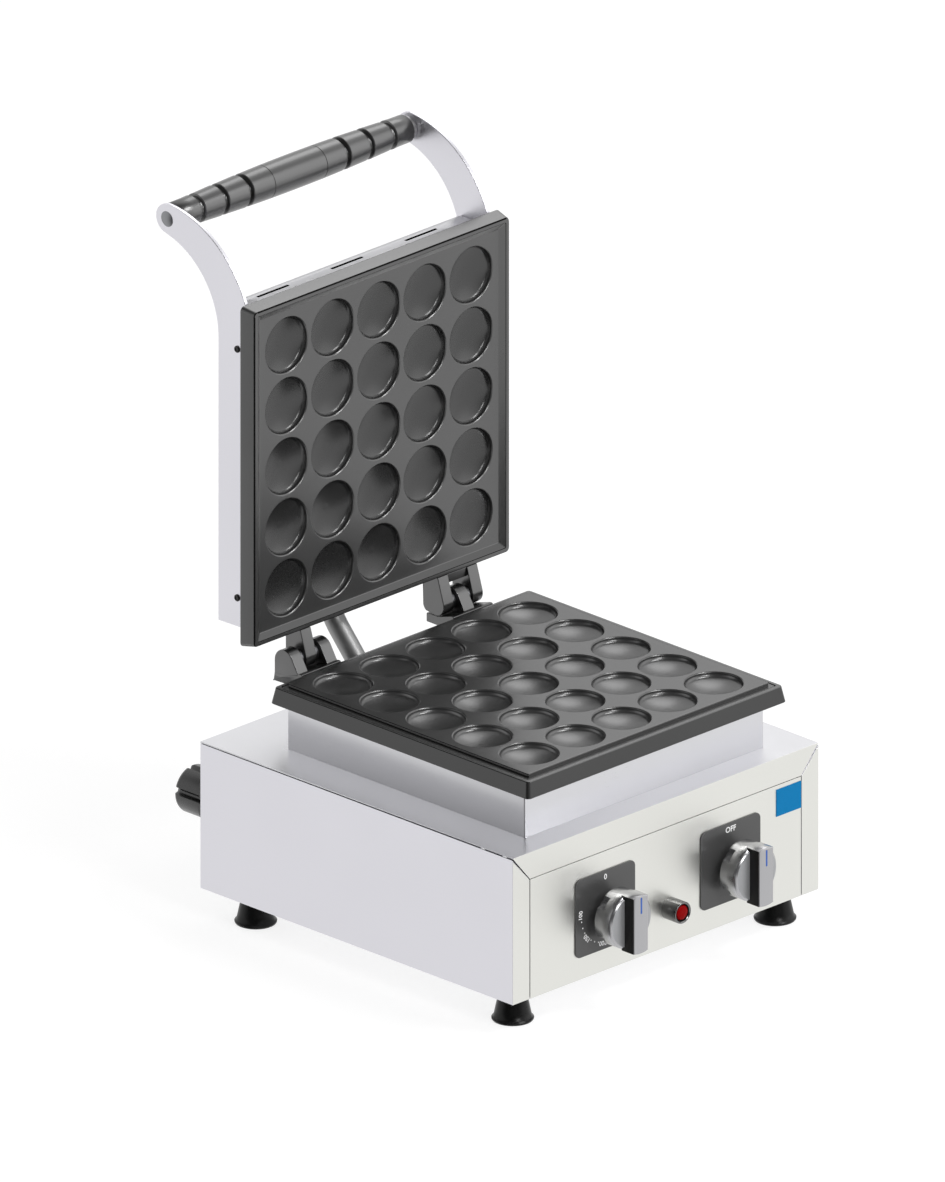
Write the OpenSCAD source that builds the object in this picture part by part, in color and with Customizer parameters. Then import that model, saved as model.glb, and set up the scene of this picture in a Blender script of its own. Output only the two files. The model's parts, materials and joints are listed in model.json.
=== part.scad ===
// Countertop mini pancake maker with a hinged lid, drawn with the lid standing open.
// Millimetres, +Z up. The front with the knobs faces -Y.
// The origin is on the table, below the middle of the whole object's outline.

/* [Base box] */
// Width of the base box
base_w = 310; // [306:1:320]
// Depth of the base box
base_d = 315; // [312:1:330]
// Height of the base box without its feet
base_h = 113.2; // [108:0.2:125]
// Thickness of the sheet steel
sheet_t = 1.2; // [1:0.1:1.5]
// Width of the mitred strip down each side of the front
strip_w = 17.5; // [14:0.5:20]
// Height of the mitred strip along the top of the front
strip_h = 20.6; // [16:0.2:24]

/* [Feet] */
// Height of a foot
foot_h = 23; // [18:1:30]
// Radius of a foot where it meets the table
foot_r = 15.6; // [14:0.2:18]
// Radius of a foot under the base
foot_top_r = 9.8; // [8:0.1:11]
// Distance of a foot's centre from the side, and of a front foot's from the front
foot_inset = 22; // [20:1:30]
// Distance of a back foot's centre from the back of the base box
foot_back_inset = 34; // [20:1:35]

/* [Collar between base and lower plate] */
// Width of the collar
collar_w = 242; // [238:1:246]
// Depth of the collar
collar_d = 239.5; // [236:0.5:244]
// Height of the collar
collar_h = 36; // [32:1:44]
// Distance of the collar behind the base front
collar_front = 21.5; // [20:0.5:24]

/* [Baking plates] */
// Width of the lower plate at the bottom of its skirt
plate_w = 262.7; // [260:0.1:266]
// Depth of the lower plate at the bottom of its skirt
plate_d = 260.5; // [258:0.1:264]
// Distance of the lower plate's skirt behind the base front
plate_front = 8; // [7:0.5:9]
// Height of the leaning skirt
skirt_h = 12.6; // [11:0.2:14]
// How far the skirt leans out on each side
flare = 2.25; // [1.5:0.25:3]
// Width of the ledge around the raised field
ledge_w = 7; // [6:0.2:7.4]
// Height of the raised field above the ledge
field_h = 2.4; // [2:0.1:2.6]
// Wells along each side of a plate
well_n = 5; // [3:2:5]
// Distance between well centres
well_pitch = 46.8; // [46:0.1:47.4]
// Diameter of a well at its mouth
well_d = 44; // [40:0.5:44.5]
// Depth of a well
well_depth = 7.5; // [6:0.5:8]

/* [Lid plate and cover] */
// Length of the lid plate's rim, from hinge side to handle side
rim_len = 257.9; // [256:0.1:260]
// Width of the flat edge of the rim
rim_w = 3.5; // [3:0.1:3.8]
// How far the inside of the rim leans in
rim_lean = 4.5; // [4:0.1:4.8]
// Depth of the lid plate's face below its rim
rim_deep = 3.2; // [3:0.1:3.4]
// Thickness of the lid plate at its skirt
lid_plate_t = 12.3; // [12:0.1:13]
// Length of the lid cover
cover_len = 241.7; // [240:0.1:244]
// Height of the lid cover behind the plate
cover_t = 29.7; // [27:0.1:32]
// Length of a vent slot
vent_len = 32; // [24:1:40]
// Width of a vent slot
vent_w = 2.6; // [1.6:0.1:3]

/* [Hinge] */
// Height of the hinge axis above the ledge
axis_up = 3; // [2.8:0.1:3.2]
// Distance of the hinge axis behind the lower plate's skirt
axis_back = 20.1; // [19.6:0.1:20.6]
// Sideways distance of each hinge from the middle
hinge_x = 77; // [70:1:84]
// Radius of a hinge pin
pin_r = 4; // [3.5:0.1:4.5]

/* [Handle] */
// Thickness of a side plate with its arm
arm_t = 3; // [2.5:0.1:3]
// Distance of the handle axis from the hinge axis along the lid
handle_u = 324.3; // [322:0.1:327]
// Height of the handle axis above the hinge axis when the lid is shut
handle_v = 90.8; // [89:0.1:92]
// Radius of the rounded end of an arm
arm_end_r = 11.3; // [11:0.1:11.6]
// Radius of the handle rod
rod_r = 5.9; // [5:0.1:6.2]
// Radius of the grip in the middle
grip_mid_r = 12.8; // [12:0.1:13.5]
// Radius of the grip at its ends
grip_end_r = 10.2; // [9.5:0.1:11]

/* [Controls] */
// Sideways place of the thermostat knob
thermostat_x = 93; // [88:1:98]
// Sideways place of the switch knob
switch_x = 220; // [214:1:226]
// Height of both knobs above the bottom of the base box
knob_z = 46; // [42:1:50]
// Radius of a knob
knob_r = 21.3; // [19:0.1:23]
// Reach of a knob in front of the base
knob_reach = 37.2; // [34:0.2:40]
// Width of the grip bar across a knob
knob_bar_w = 14.5; // [11:0.5:16]
// Side of a square dial plate
dial_side = 60.5; // [56:0.5:64]
// Sideways place of the pilot lamp
lamp_x = 158.5; // [154:0.5:162]
// Height of the pilot lamp above the bottom of the base box
lamp_z = 29.5; // [27:0.5:33]

/* [Conduit and cable gland] */
// Sideways place of the conduit between base and lid
conduit_x = 128; // [122:1:134]
// Outer radius of the conduit
conduit_r = 7.85; // [7:0.05:8]
// Radius of the conduit's two bends
conduit_bend = 45; // [44:0.5:46]
// Lean of the conduit between its bends
conduit_lean = 42; // [41:0.5:43]
// Sideways place of the cable gland
gland_x = 25.6; // [25:0.1:32]
// Height of the cable gland above the bottom of the base box
gland_z = 60.5; // [50:0.5:70]
// Radius of the cable hole through the gland
cable_r = 4.6; // [3.5:0.1:5]

/* [Hidden] */
$fn = 64;

// Heights of the stack above the bottom of the base box
collar_top = base_h + collar_h;
ledge_z = collar_top + skirt_h;
field_z = ledge_z + field_h;

// Middle of the base and of the plates
mid_x = base_w / 2;
plate_mid_y = plate_front + plate_d / 2;
plate_back = plate_front + plate_d;
collar_back = collar_front + collar_d;

// Hinge axis
axis_y = plate_back + axis_back;
axis_z = ledge_z + axis_up;

// Lid, measured from the hinge axis: u runs along the lid, v is height when it is shut
rim_gap = 0.3;
rim_v = rim_gap - axis_up;
face_v = rim_v + rim_deep;
back_v = rim_v + lid_plate_t;
lid_mid_u = axis_y - plate_mid_y;
rim_x = plate_w / 2 - flare;
rim_u0 = lid_mid_u - rim_len / 2;
rim_u1 = lid_mid_u + rim_len / 2;
cover_u0 = lid_mid_u - cover_len / 2;
cover_u1 = lid_mid_u + cover_len / 2;
cover_v = back_v + cover_t;
cover_x = collar_w / 2;

// Whole outline along Y, for the origin
object_front = -knob_reach;
object_back = axis_y + handle_v + grip_mid_r;
mid_y = (object_front + object_back) / 2;

// Wells
well_half = well_pitch * (well_n - 1) / 2;
well_corner = 3.6;
well_wall = 1;
well_chamfer = 0.8;
// Radius of the bowl that a well's floor is cut to, so that it meets the round corner smoothly
well_corner_x = well_d / 2 - well_chamfer - well_corner;
well_low = well_depth - well_wall;
well_bowl = (pow(well_corner_x, 2) + pow(well_low, 2) - pow(well_corner, 2))
    / (2 * (well_low - well_corner));

// Plates underneath
bed_deep = 3.2;
bed_margin = 16.4;
heater_r = 4;
heater_bend = 28;
heater_reach = 148;
heater_leg = 24;
heater_tail = 38;
pad_gap = 0.4;
pad_t = 17;
retainer_t = 1;
pad_w = 222;
pad_l = 184;
stud_r = 2.5;
stud_spread = well_pitch * 1.5;
stud_deep = 4.5;

// Cable gland
gland_thread_r = 12;
gland_flange_r = 21;
gland_nut_r = 18;
gland_len = 35;
gland_flange_t = 8;
gland_flutes = 5;
gland_flute_turn = 27;
gland_flute_r = 2.4;
gland_flute_in = 1;
gland_inside = 14;
gland_seal_r = 8;
gland_seal_y = [12, 24];
gland_lock = [30, 5];

// Hinge castings
lug_r = 9.5;
knuckle_r = 8.3;
lug_lean = 31.5;
knuckle_lean = 17;
casting_half = 20;
lug_inner = 9.7;
tongue_half = 5.3;
blind_wall = 1.5;
web_top = -8.7;
web_rise_start = -2.4;
web_rise_end = -15.8;
web_crest = -4.6;
fixed_fit = 0.02;
turning_fit = 0.05;
hinge_screw_x = 13;
hinge_screw_r = 2;
hinge_head_r = 3.4;
flange_v = back_v + 3.3;
flange_u = 28.4;

// Arms, as two arcs given in u and v
arm_front = [94.8, 246.7, 89.5];
arm_back = [105.7, 247.7, 66.5];

// Controls
dial_t = 1;
knob_gap = 3.4;
knob_body_front = 27.4;
knob_body_back = 10.8;
knob_boss_r = 13;
knob_bar_len = 45;
knob_notches = 4;
knob_notch_r = 5;
knob_notch_out = 2.2;
knob_notch_l = 6.5;
knob_chamfer = 2;
shaft_r = 3;
shaft_end = 18;
bush_r = 4.9;
nut_t = 2.4;
nut_across = 14;
dial_rise = 1.5;
dial_corner = 5;
control_y = 8;
thermostat_half = [18, 16];
thermostat_back = 36;
switch_back = 50;
bulb_r = 3;
bulb_half = 40;
tube_r = 1;

// Pilot lamp
lamp_thread_r = 5.8;
lamp_reach = 14.4;
lamp_bezel_r = 8.25;
lamp_lens_r = 5.6;
lamp_lens_sunk = 1.4;
lamp_bore_r = 4.2;
lamp_seat = 4;
lamp_back = 30;
lamp_nut = [15, 4];

// Plain square at the top right of the front
badge_w = 25.3;
badge_h = 20.8;
badge_t = 0.4;
badge_gap = 3.4;

// Terminal block and wiring
terminal_y = 250;
terminal_size = [54, 24, 20];
terminal_left = 14;
terminal_pitch = 18;
terminal_r = 3;
wire_r = 1.4;
wire_low = 7;
wire_gap = 0.2;

// Conduit
conduit_y = collar_back + 10.6;
conduit_rise = 2.8;
conduit_straight = 29.2;
bend_steps = 8;
conduit_sides = 24;

// Base
collar_flange = 12;
loose_fit = 0.35;
floor_slots = 7;
floor_slot = [60, 4];
floor_slot_y = 90;
floor_slot_step = 22;
small_screw_r = 1.5;
small_screw_len = 8;
small_head_t = 1.6;
back_screw_places = [
    [40, 12], [base_w - 40, 12], [60, base_h - 12], [base_w - 40, base_h - 12]
];

// Feet
foot_lip = 2;
foot_stud_r = 3;
foot_stud_sunk = 11;
foot_stud_up = 10;
foot_nut = [10, 5];
foot_places = [
    [foot_inset, foot_inset],
    [base_w - foot_inset, foot_inset],
    [foot_inset, base_d - foot_back_inset],
    [base_w - foot_inset, base_d - foot_back_inset]
];

// Moves a shape from the base box's front left bottom corner to the object's origin
module place() {
    translate([-mid_x, -mid_y, foot_h]) children();
}

// Stands the lid up. Its shapes are given shut, from the hinge axis, and y is minus u
module lid_place() {
    place() translate([mid_x, axis_y, axis_z]) rotate([-90, 0, 0]) children();
}

// Box between two opposite corners
module box(lo, hi) {
    translate(lo) cube(hi - lo);
}

module rod_x(r, x0, x1, y, z) {
    translate([x0, y, z]) rotate([0, 90, 0]) cylinder(r = r, h = x1 - x0);
}

module rod_y(r, y0, y1, x, z) {
    translate([x, y0, z]) rotate([-90, 0, 0]) cylinder(r = r, h = y1 - y0);
}

module rod_z(r, z0, z1, x, y) {
    translate([x, y, z0]) cylinder(r = r, h = z1 - z0);
}

// Extrudes an outline given in Y and Z along X
module along_x(x0, x1) {
    translate([x0, 0, 0]) rotate([90, 0, 90]) linear_extrude(x1 - x0) children();
}

// Extrudes an outline given in X and Z along Y
module along_y(y0, y1) {
    translate([0, y1, 0]) rotate([90, 0, 0]) linear_extrude(y1 - y0) children();
}

// Straight round bar between two points
module strut(a, b, r) {
    d = b - a;
    translate(a) rotate([0, acos(d[2] / norm(d)), atan2(d[1], d[0])])
        cylinder(r = r, h = norm(d));
}

// Bent wire through a list of points
module wire(points, r) {
    for (i = [1 : len(points) - 1]) {
        strut(points[i - 1], points[i], r);
        if (i < len(points) - 1) translate(points[i]) sphere(r);
    }
}

// Slab with four leaning sides, whose outline grows by a margin from bottom to top
module leaning_slab(lo, hi, grow) {
    reach = abs(grow);
    intersection() {
        along_y(lo[1] - reach, hi[1] + reach) polygon([
            [lo[0], lo[2]], [hi[0], lo[2]], [hi[0] + grow, hi[2]], [lo[0] - grow, hi[2]]
        ]);
        along_x(lo[0] - reach, hi[0] + reach) polygon([
            [lo[1], lo[2]], [hi[1], lo[2]], [hi[1] + grow, hi[2]], [lo[1] - grow, hi[2]]
        ]);
    }
}

// Square outline with rounded corners
module rounded_square(side, r) {
    square([side - 2 * r, side], center = true);
    square([side, side - 2 * r], center = true);
    for (sx = [-1, 1], sy = [-1, 1]) {
        translate([sx * (side / 2 - r), sy * (side / 2 - r)]) circle(r);
    }
}

// Hexagon nut blank along Z
module hexagon(across, t) {
    cylinder(r = across / sqrt(3), h = t, $fn = 6);
}

// Hollow of one well, cut down from z = 0: a chamfered mouth, a round corner and a shallow bowl
module well() {
    mouth = well_d / 2;
    wall = mouth - well_chamfer;
    meet = well_corner_x * well_bowl / (well_bowl - well_corner);
    rotate_extrude() {
        intersection() {
            translate([0, well_bowl - well_depth]) circle(well_bowl, $fn = 240);
            translate([0, -well_depth]) square([meet, well_depth]);
        }
        intersection() {
            translate([well_corner_x, -well_wall]) circle(well_corner);
            translate([0, -well_depth]) square([wall, well_depth]);
        }
        translate([0, -well_wall]) square([wall, well_wall]);
        polygon([[0, -well_chamfer], [wall, -well_chamfer], [mouth, 0], [mouth, 1], [0, 1]]);
    }
}

module wells() {
    for (i = [0 : well_n - 1], j = [0 : well_n - 1]) {
        translate([i * well_pitch - well_half, j * well_pitch - well_half, 0]) well();
    }
}

// Repeats a shape at the four studs that hold a retainer
module stud_places() {
    for (sx = [-1, 1], sy = [-1, 1]) {
        translate([sx * stud_spread, sy * stud_spread, 0]) children();
    }
}

// Tubular heater in four runs with three bends, its top at z = 0, and two legs down
module heater() {
    half = heater_reach / 2;
    translate([0, 0, -heater_r]) {
        for (i = [-3, -1, 1, 3]) {
            rod_y(heater_r, -half, half, i * heater_bend, 0);
        }
        for (side = [-1, 1]) {
            translate([side * 2 * heater_bend, -half, 0]) rotate([0, 0, 180])
                rotate_extrude(angle = 180) translate([heater_bend, 0]) circle(heater_r);
            rod_y(heater_r, half, half + heater_leg, side * 3 * heater_bend, 0);
            translate([side * 3 * heater_bend, half + heater_leg, 0]) sphere(heater_r);
            rod_z(heater_r, -heater_tail, 0, side * 3 * heater_bend, half + heater_leg);
        }
        translate([0, half, 0])
            rotate_extrude(angle = 180) translate([heater_bend, 0]) circle(heater_r);
    }
}

// Soft pad below a heater, its top at z = 0
module insulation_pad() {
    difference() {
        box([-pad_w / 2, -pad_l / 2, -pad_t], [pad_w / 2, pad_l / 2, 0]);
        stud_places() translate([0, 0, -pad_t - 1]) cylinder(r = stud_r + 0.5, h = pad_t + 2);
    }
}

module retainer_sheet() {
    difference() {
        box([-pad_w / 2, -pad_l / 2, -retainer_t], [pad_w / 2, pad_l / 2, 0]);
        stud_places() translate([0, 0, -retainer_t - 1])
            cylinder(r = stud_r + 0.1, h = retainer_t + 2);
    }
}

// Studs with heads that pull a retainer sheet towards a plate, the sheet's top at z = 0
module retainer_studs(length) {
    stud_places() {
        translate([0, 0, -retainer_t]) cylinder(r = stud_r, h = length + retainer_t);
        translate([0, 0, -retainer_t - 3]) hexagon(8, 3);
    }
}

// Depth of the pad and the sheet under the bed of a plate
pad_z = -2 * heater_r - pad_gap;
sheet_z = pad_z - pad_t;

// Base

module base_top_panel() {
    color("silver") place() difference() {
        union() {
            box([0, 0, base_h - sheet_t], [base_w, base_d, base_h]);
            along_y(0, sheet_t) polygon([
                [0.3, base_h], [base_w - 0.3, base_h],
                [base_w - strip_w - 0.1, base_h - strip_h], [strip_w + 0.1, base_h - strip_h]
            ]);
        }
        box([mid_x - cover_x + collar_flange + 4, collar_front + collar_flange + 1, base_h - 3],
            [mid_x + cover_x - collar_flange - 4, collar_back - collar_flange, base_h + 1]);
        rod_z(conduit_r + loose_fit, base_h - 3, base_h + 1, conduit_x, conduit_y);
    }
}

// Side panel with its narrow front return, drawn for the left side
module base_side() {
    top = base_h - sheet_t - 0.3;
    box([0, 0, 0], [sheet_t, base_d, top]);
    along_y(0, sheet_t) polygon([
        [0, 0], [strip_w - 0.1, 0], [strip_w - 0.1, base_h - strip_h - 0.2],
        [sheet_t, top - 0.2], [0, top]
    ]);
}

module base_side_left() {
    color("gainsboro") place() base_side();
}

module base_side_right() {
    color("gainsboro") place() translate([base_w, 0, 0]) mirror([1, 0, 0]) base_side();
}

module base_back_panel() {
    color("gainsboro") place() difference() {
        box([sheet_t, base_d - sheet_t, sheet_t], [base_w - sheet_t, base_d, base_h - sheet_t]);
        rod_y(gland_thread_r + 0.2, base_d - 3, base_d + 1, gland_x, gland_z);
        for (p = back_screw_places) rod_y(small_screw_r + 0.1, base_d - 3, base_d + 1, p[0], p[1]);
    }
}

module base_bottom_plate() {
    color("silver") place() difference() {
        box([sheet_t, sheet_t, 0], [base_w - sheet_t, base_d - sheet_t, sheet_t]);
        for (p = foot_places) rod_z(foot_stud_r + 0.1, -1, 3, p[0], p[1]);
        for (i = [0 : floor_slots - 1], side = [-1, 1]) {
            translate([mid_x + side * floor_slot[0], floor_slot_y + i * floor_slot_step, 0])
                cube([floor_slot[0], floor_slot[1], 4 * sheet_t], center = true);
        }
    }
}

module control_panel() {
    color("whitesmoke") place() difference() {
        box([strip_w + 0.1, 0, 0], [base_w - strip_w - 0.1, sheet_t, base_h - strip_h - 0.2]);
        for (x = [thermostat_x, switch_x]) rod_y(bush_r + 0.1, -1, 3, x, knob_z);
        rod_y(lamp_thread_r + 0.1, -1, 3, lamp_x, lamp_z);
    }
}

// Pan head screws that hold the back panel
module base_screws() {
    color("silver") place() for (p = back_screw_places) {
        rod_y(2 * small_screw_r, base_d, base_d + small_head_t, p[0], p[1]);
        rod_y(small_screw_r, base_d - small_screw_len, base_d, p[0], p[1]);
    }
}

// Feet

module foot(place_xy) {
    color([0.1, 0.1, 0.1]) place() translate([place_xy[0], place_xy[1], -foot_h]) difference() {
        union() {
            cylinder(r = foot_r - 0.6, h = foot_lip);
            translate([0, 0, foot_lip])
                cylinder(r1 = foot_r, r2 = foot_top_r, h = foot_h - foot_lip);
        }
        translate([0, 0, foot_h - foot_stud_sunk - 1])
            cylinder(r = foot_stud_r + fixed_fit, h = foot_stud_sunk + 2);
    }
}

module foot_front_left() { foot(foot_places[0]); }
module foot_front_right() { foot(foot_places[1]); }
module foot_back_left() { foot(foot_places[2]); }
module foot_back_right() { foot(foot_places[3]); }

// Threaded studs moulded into the feet, each with a nut inside the base
module foot_studs() {
    color("silver") place() for (p = foot_places) {
        rod_z(foot_stud_r, -foot_stud_sunk, foot_stud_up, p[0], p[1]);
        translate([p[0], p[1], sheet_t]) hexagon(foot_nut[0], foot_nut[1]);
    }
}

// Collar

module collar() {
    left = mid_x - collar_w / 2;
    right = mid_x + collar_w / 2;
    color("silver") place() difference() {
        box([left, collar_front, base_h], [right, collar_back, collar_top]);
        box([left + sheet_t, collar_front + sheet_t, base_h + sheet_t],
            [right - sheet_t, collar_back - sheet_t, collar_top + 1]);
        box([left + collar_flange, collar_front + collar_flange, base_h - 1],
            [right - collar_flange, collar_back - collar_flange, base_h + 2 * sheet_t]);
    }
}

// Lower plate with its heater

module lower_plate() {
    half_w = plate_w / 2;
    bed_z = collar_top + bed_deep;
    color("dimgray") place() difference() {
        union() {
            leaning_slab([mid_x - half_w, plate_front, collar_top],
                [mid_x + half_w, plate_back, ledge_z], -flare);
            box([mid_x - half_w + flare + ledge_w, plate_front + flare + ledge_w, ledge_z - 1],
                [mid_x + half_w - flare - ledge_w, plate_back - flare - ledge_w, field_z]);
        }
        ledge_groove();
        translate([mid_x, plate_mid_y, field_z]) wells();
        box([mid_x - half_w + bed_margin, plate_front + bed_margin + 2.6, collar_top - 1],
            [mid_x + half_w - bed_margin, plate_back - bed_margin + 2, bed_z]);
        translate([mid_x, plate_mid_y, bed_z - 1]) stud_places()
            cylinder(r = stud_r + 0.05, h = stud_deep + 1);
        for (side = [-1, 1], end = [-1, 1]) {
            rod_y(hinge_screw_r + 0.05, plate_back - 10, plate_back + 1,
                mid_x + side * hinge_x + end * hinge_screw_x, lower_screw_z);
        }
    }
}

// Shallow step along the inner half of the ledge
module ledge_groove() {
    outer = flare + ledge_w / 2;
    inner = flare + ledge_w;
    difference() {
        box([mid_x - plate_w / 2 + outer, plate_front + outer, ledge_z - groove_deep],
            [mid_x + plate_w / 2 - outer, plate_back - outer, ledge_z + 1]);
        box([mid_x - plate_w / 2 + inner, plate_front + inner, ledge_z - 1],
            [mid_x + plate_w / 2 - inner, plate_back - inner, ledge_z + 2]);
    }
}

groove_deep = 0.5;
lower_screw_z = collar_top + 4;

module lower_bed() {
    place() translate([mid_x, plate_mid_y, collar_top + bed_deep]) children();
}

module lower_heater() {
    color("darkgray") lower_bed() heater();
}

module lower_insulation() {
    color("beige") lower_bed() translate([0, 0, pad_z]) insulation_pad();
}

module lower_retainer() {
    color("silver") lower_bed() translate([0, 0, sheet_z]) retainer_sheet();
}

module lower_retainer_screws() {
    color("gray") lower_bed() translate([0, 0, sheet_z])
        retainer_studs(stud_deep - sheet_z - 0.5);
}

// Controls

// Threaded bush of a control with the control's housing behind it
module control(x) {
    difference() {
        union() {
            rod_y(bush_r, -dial_t - nut_t - 0.4, control_y, x, knob_z);
            children();
        }
        rod_y(shaft_r + turning_fit, -10, shaft_end + 2, x, knob_z);
    }
}

module thermostat_body() {
    color("tan") place() control(thermostat_x) {
        box([thermostat_x - thermostat_half[0], control_y, knob_z - thermostat_half[1]],
            [thermostat_x + thermostat_half[0], thermostat_back, knob_z + thermostat_half[1]]);
    }
}

// Probe bulb under the lower plate and its thin tube down to the thermostat
module thermostat_probe() {
    bulb_z = collar_top + bed_deep - bulb_r;
    bulb_y = plate_mid_y - bulb_half;
    tube_y = collar_front + collar_flange + 4;
    body_top = knob_z + thermostat_half[1];
    color("peru") place() {
        rod_y(bulb_r, bulb_y, plate_mid_y + bulb_half, mid_x, bulb_z);
        wire([
            [mid_x, bulb_y, bulb_z], [mid_x, tube_y, bulb_z], [mid_x, tube_y, body_top + 12],
            [thermostat_x, tube_y, body_top + 12], [thermostat_x, thermostat_back - 8, body_top + 12],
            [thermostat_x, thermostat_back - 8, body_top]
        ], tube_r);
    }
}

module dial_plate(x) {
    color([0.25, 0.25, 0.25]) place() difference() {
        along_y(-dial_t, 0) translate([x, knob_z + dial_rise])
            rounded_square(dial_side, dial_corner);
        rod_y(bush_r + 0.1, -3, 1, x, knob_z);
    }
}

module thermostat_dial_plate() { dial_plate(thermostat_x); }
module switch_dial_plate() { dial_plate(switch_x); }

module switch_body() {
    step = control_y + 14;
    wide = 22;
    narrow = [16, 20];
    color("ivory") place() control(switch_x) {
        box([switch_x - wide, control_y, knob_z - wide], [switch_x + wide, step, knob_z + wide]);
        box([switch_x - narrow[0], step, knob_z - narrow[1]],
            [switch_x + narrow[0], switch_back, knob_z + narrow[1]]);
    }
}

// Hexagon nuts that clamp both controls to the panel
module control_nuts() {
    color("silver") place() for (x = [thermostat_x, switch_x]) {
        difference() {
            translate([x, -dial_t, knob_z]) rotate([90, 0, 0]) hexagon(nut_across, nut_t);
            rod_y(bush_r + fixed_fit, -9, 1, x, knob_z);
        }
    }
}

module pilot_lamp_bezel() {
    color("lightgray") place() difference() {
        union() {
            rod_y(lamp_bezel_r, -lamp_reach, 0, lamp_x, lamp_z);
            rod_y(lamp_thread_r, 0, 12, lamp_x, lamp_z);
        }
        rod_y(lamp_lens_r + 0.05, -lamp_reach - 1, -lamp_seat, lamp_x, lamp_z);
        rod_y(lamp_bore_r, -lamp_seat - 1, 13, lamp_x, lamp_z);
    }
}

module pilot_lamp_lens() {
    color("red") place() {
        rod_y(lamp_lens_r, lamp_lens_sunk - lamp_reach, -lamp_seat, lamp_x, lamp_z);
        translate([lamp_x, lamp_lens_sunk - lamp_reach, lamp_z]) rotate([90, 0, 0])
            cylinder(r1 = lamp_lens_r, r2 = lamp_lens_r - 1.8, h = 1);
    }
}

module pilot_lamp_body() {
    color("white") place() {
        rod_y(lamp_bore_r - 0.1, 0.1 - lamp_seat, lamp_back, lamp_x, lamp_z);
        translate([lamp_x, sheet_t, lamp_z]) rotate([-90, 0, 0]) difference() {
            hexagon(lamp_nut[0], lamp_nut[1]);
            translate([0, 0, -1]) cylinder(r = lamp_thread_r + fixed_fit, h = lamp_nut[1] + 2);
        }
    }
}

// Plain blue square at the top right of the front
module front_badge() {
    right = base_w - strip_w - 0.3;
    top = base_h - strip_h - 0.2 - badge_gap;
    color("steelblue") place() box([right - badge_w, -badge_t, top - badge_h], [right, 0, top]);
}

// Wiring inside the base

// Sideways place of one of the three clamps of the terminal block
function clamp_x(i) = terminal_left + terminal_pitch * (i + 0.5);

module terminal_block() {
    corner = [terminal_left, terminal_y, sheet_t];
    middle_y = terminal_y + terminal_size[1] / 2;
    color("ivory") place() difference() {
        box(corner, corner + terminal_size);
        for (i = [0 : 2]) {
            rod_z(terminal_r, sheet_t + wire_low, 30, clamp_x(i), middle_y);
            rod_y(terminal_r, terminal_y - 1, terminal_y + terminal_size[1] + 1,
                clamp_x(i), sheet_t + wire_low);
        }
    }
}

module terminal_screws() {
    middle_y = terminal_y + terminal_size[1] / 2;
    color("gold") place() for (i = [0 : 2]) {
        rod_z(terminal_r - 0.2, sheet_t + wire_low + 2, sheet_t + wire_low + 9,
            clamp_x(i), middle_y);
    }
}

// Wire from a clamp along the floor, across, up and forward to a control
module floor_wire(i, turn_y, to_x, to_y, to_z) {
    low = sheet_t + wire_low;
    wire([[clamp_x(i), terminal_y - wire_gap, low], [clamp_x(i), turn_y, low],
        [to_x, turn_y, low], [to_x, turn_y, to_z], [to_x, to_y, to_z]], wire_r);
}

// Wire from a leg of the heater down, across and forward to a control
module heater_wire(side, to_x, to_y, to_z) {
    leg_x = mid_x + side * 3 * heater_bend;
    leg_y = plate_mid_y + heater_reach / 2 + heater_leg;
    leg_z = collar_top + bed_deep - heater_r - heater_tail - wire_gap;
    wire([[leg_x, leg_y, leg_z], [leg_x, leg_y, to_z], [to_x, leg_y, to_z],
        [to_x, to_y, to_z]], wire_r);
}

module wiring() {
    color("brown") place() {
        floor_wire(0, 60, thermostat_x, thermostat_back + wire_gap, knob_z - 6);
        floor_wire(1, 80, switch_x, switch_back + wire_gap, knob_z - 6);
        floor_wire(2, 100, lamp_x, lamp_back + wire_gap, lamp_z);
        heater_wire(-1, thermostat_x + 7, thermostat_back + wire_gap, knob_z + 6);
        heater_wire(1, switch_x + 8, switch_back + wire_gap, knob_z + 10);
    }
}

// Cable gland on the back wall

module gland_bore() {
    rod_y(cable_r, base_d - 30, base_d + gland_len + 5, gland_x, gland_z);
}

module gland_body() {
    color([0.12, 0.12, 0.12]) place() difference() {
        union() {
            rod_y(gland_flange_r, base_d, base_d + gland_flange_t, gland_x, gland_z);
            rod_y(gland_thread_r, base_d - gland_inside, base_d + gland_seal_y[1] - 2,
                gland_x, gland_z);
        }
        gland_bore();
        rod_y(gland_seal_r + 0.05, base_d + gland_seal_y[0], base_d + gland_seal_y[1],
            gland_x, gland_z);
        for (i = [0 : gland_flutes - 1]) {
            a = gland_flute_turn + i * 360 / gland_flutes;
            r = gland_flange_r - gland_flute_in;
            rod_y(gland_flute_r, base_d + 1.5, base_d + gland_flange_t + 1,
                gland_x + r * cos(a), gland_z + r * sin(a));
        }
    }
}

module gland_seal() {
    color("black") place() difference() {
        rod_y(gland_seal_r, base_d + gland_seal_y[0], base_d + gland_seal_y[1],
            gland_x, gland_z);
        gland_bore();
    }
}

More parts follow.
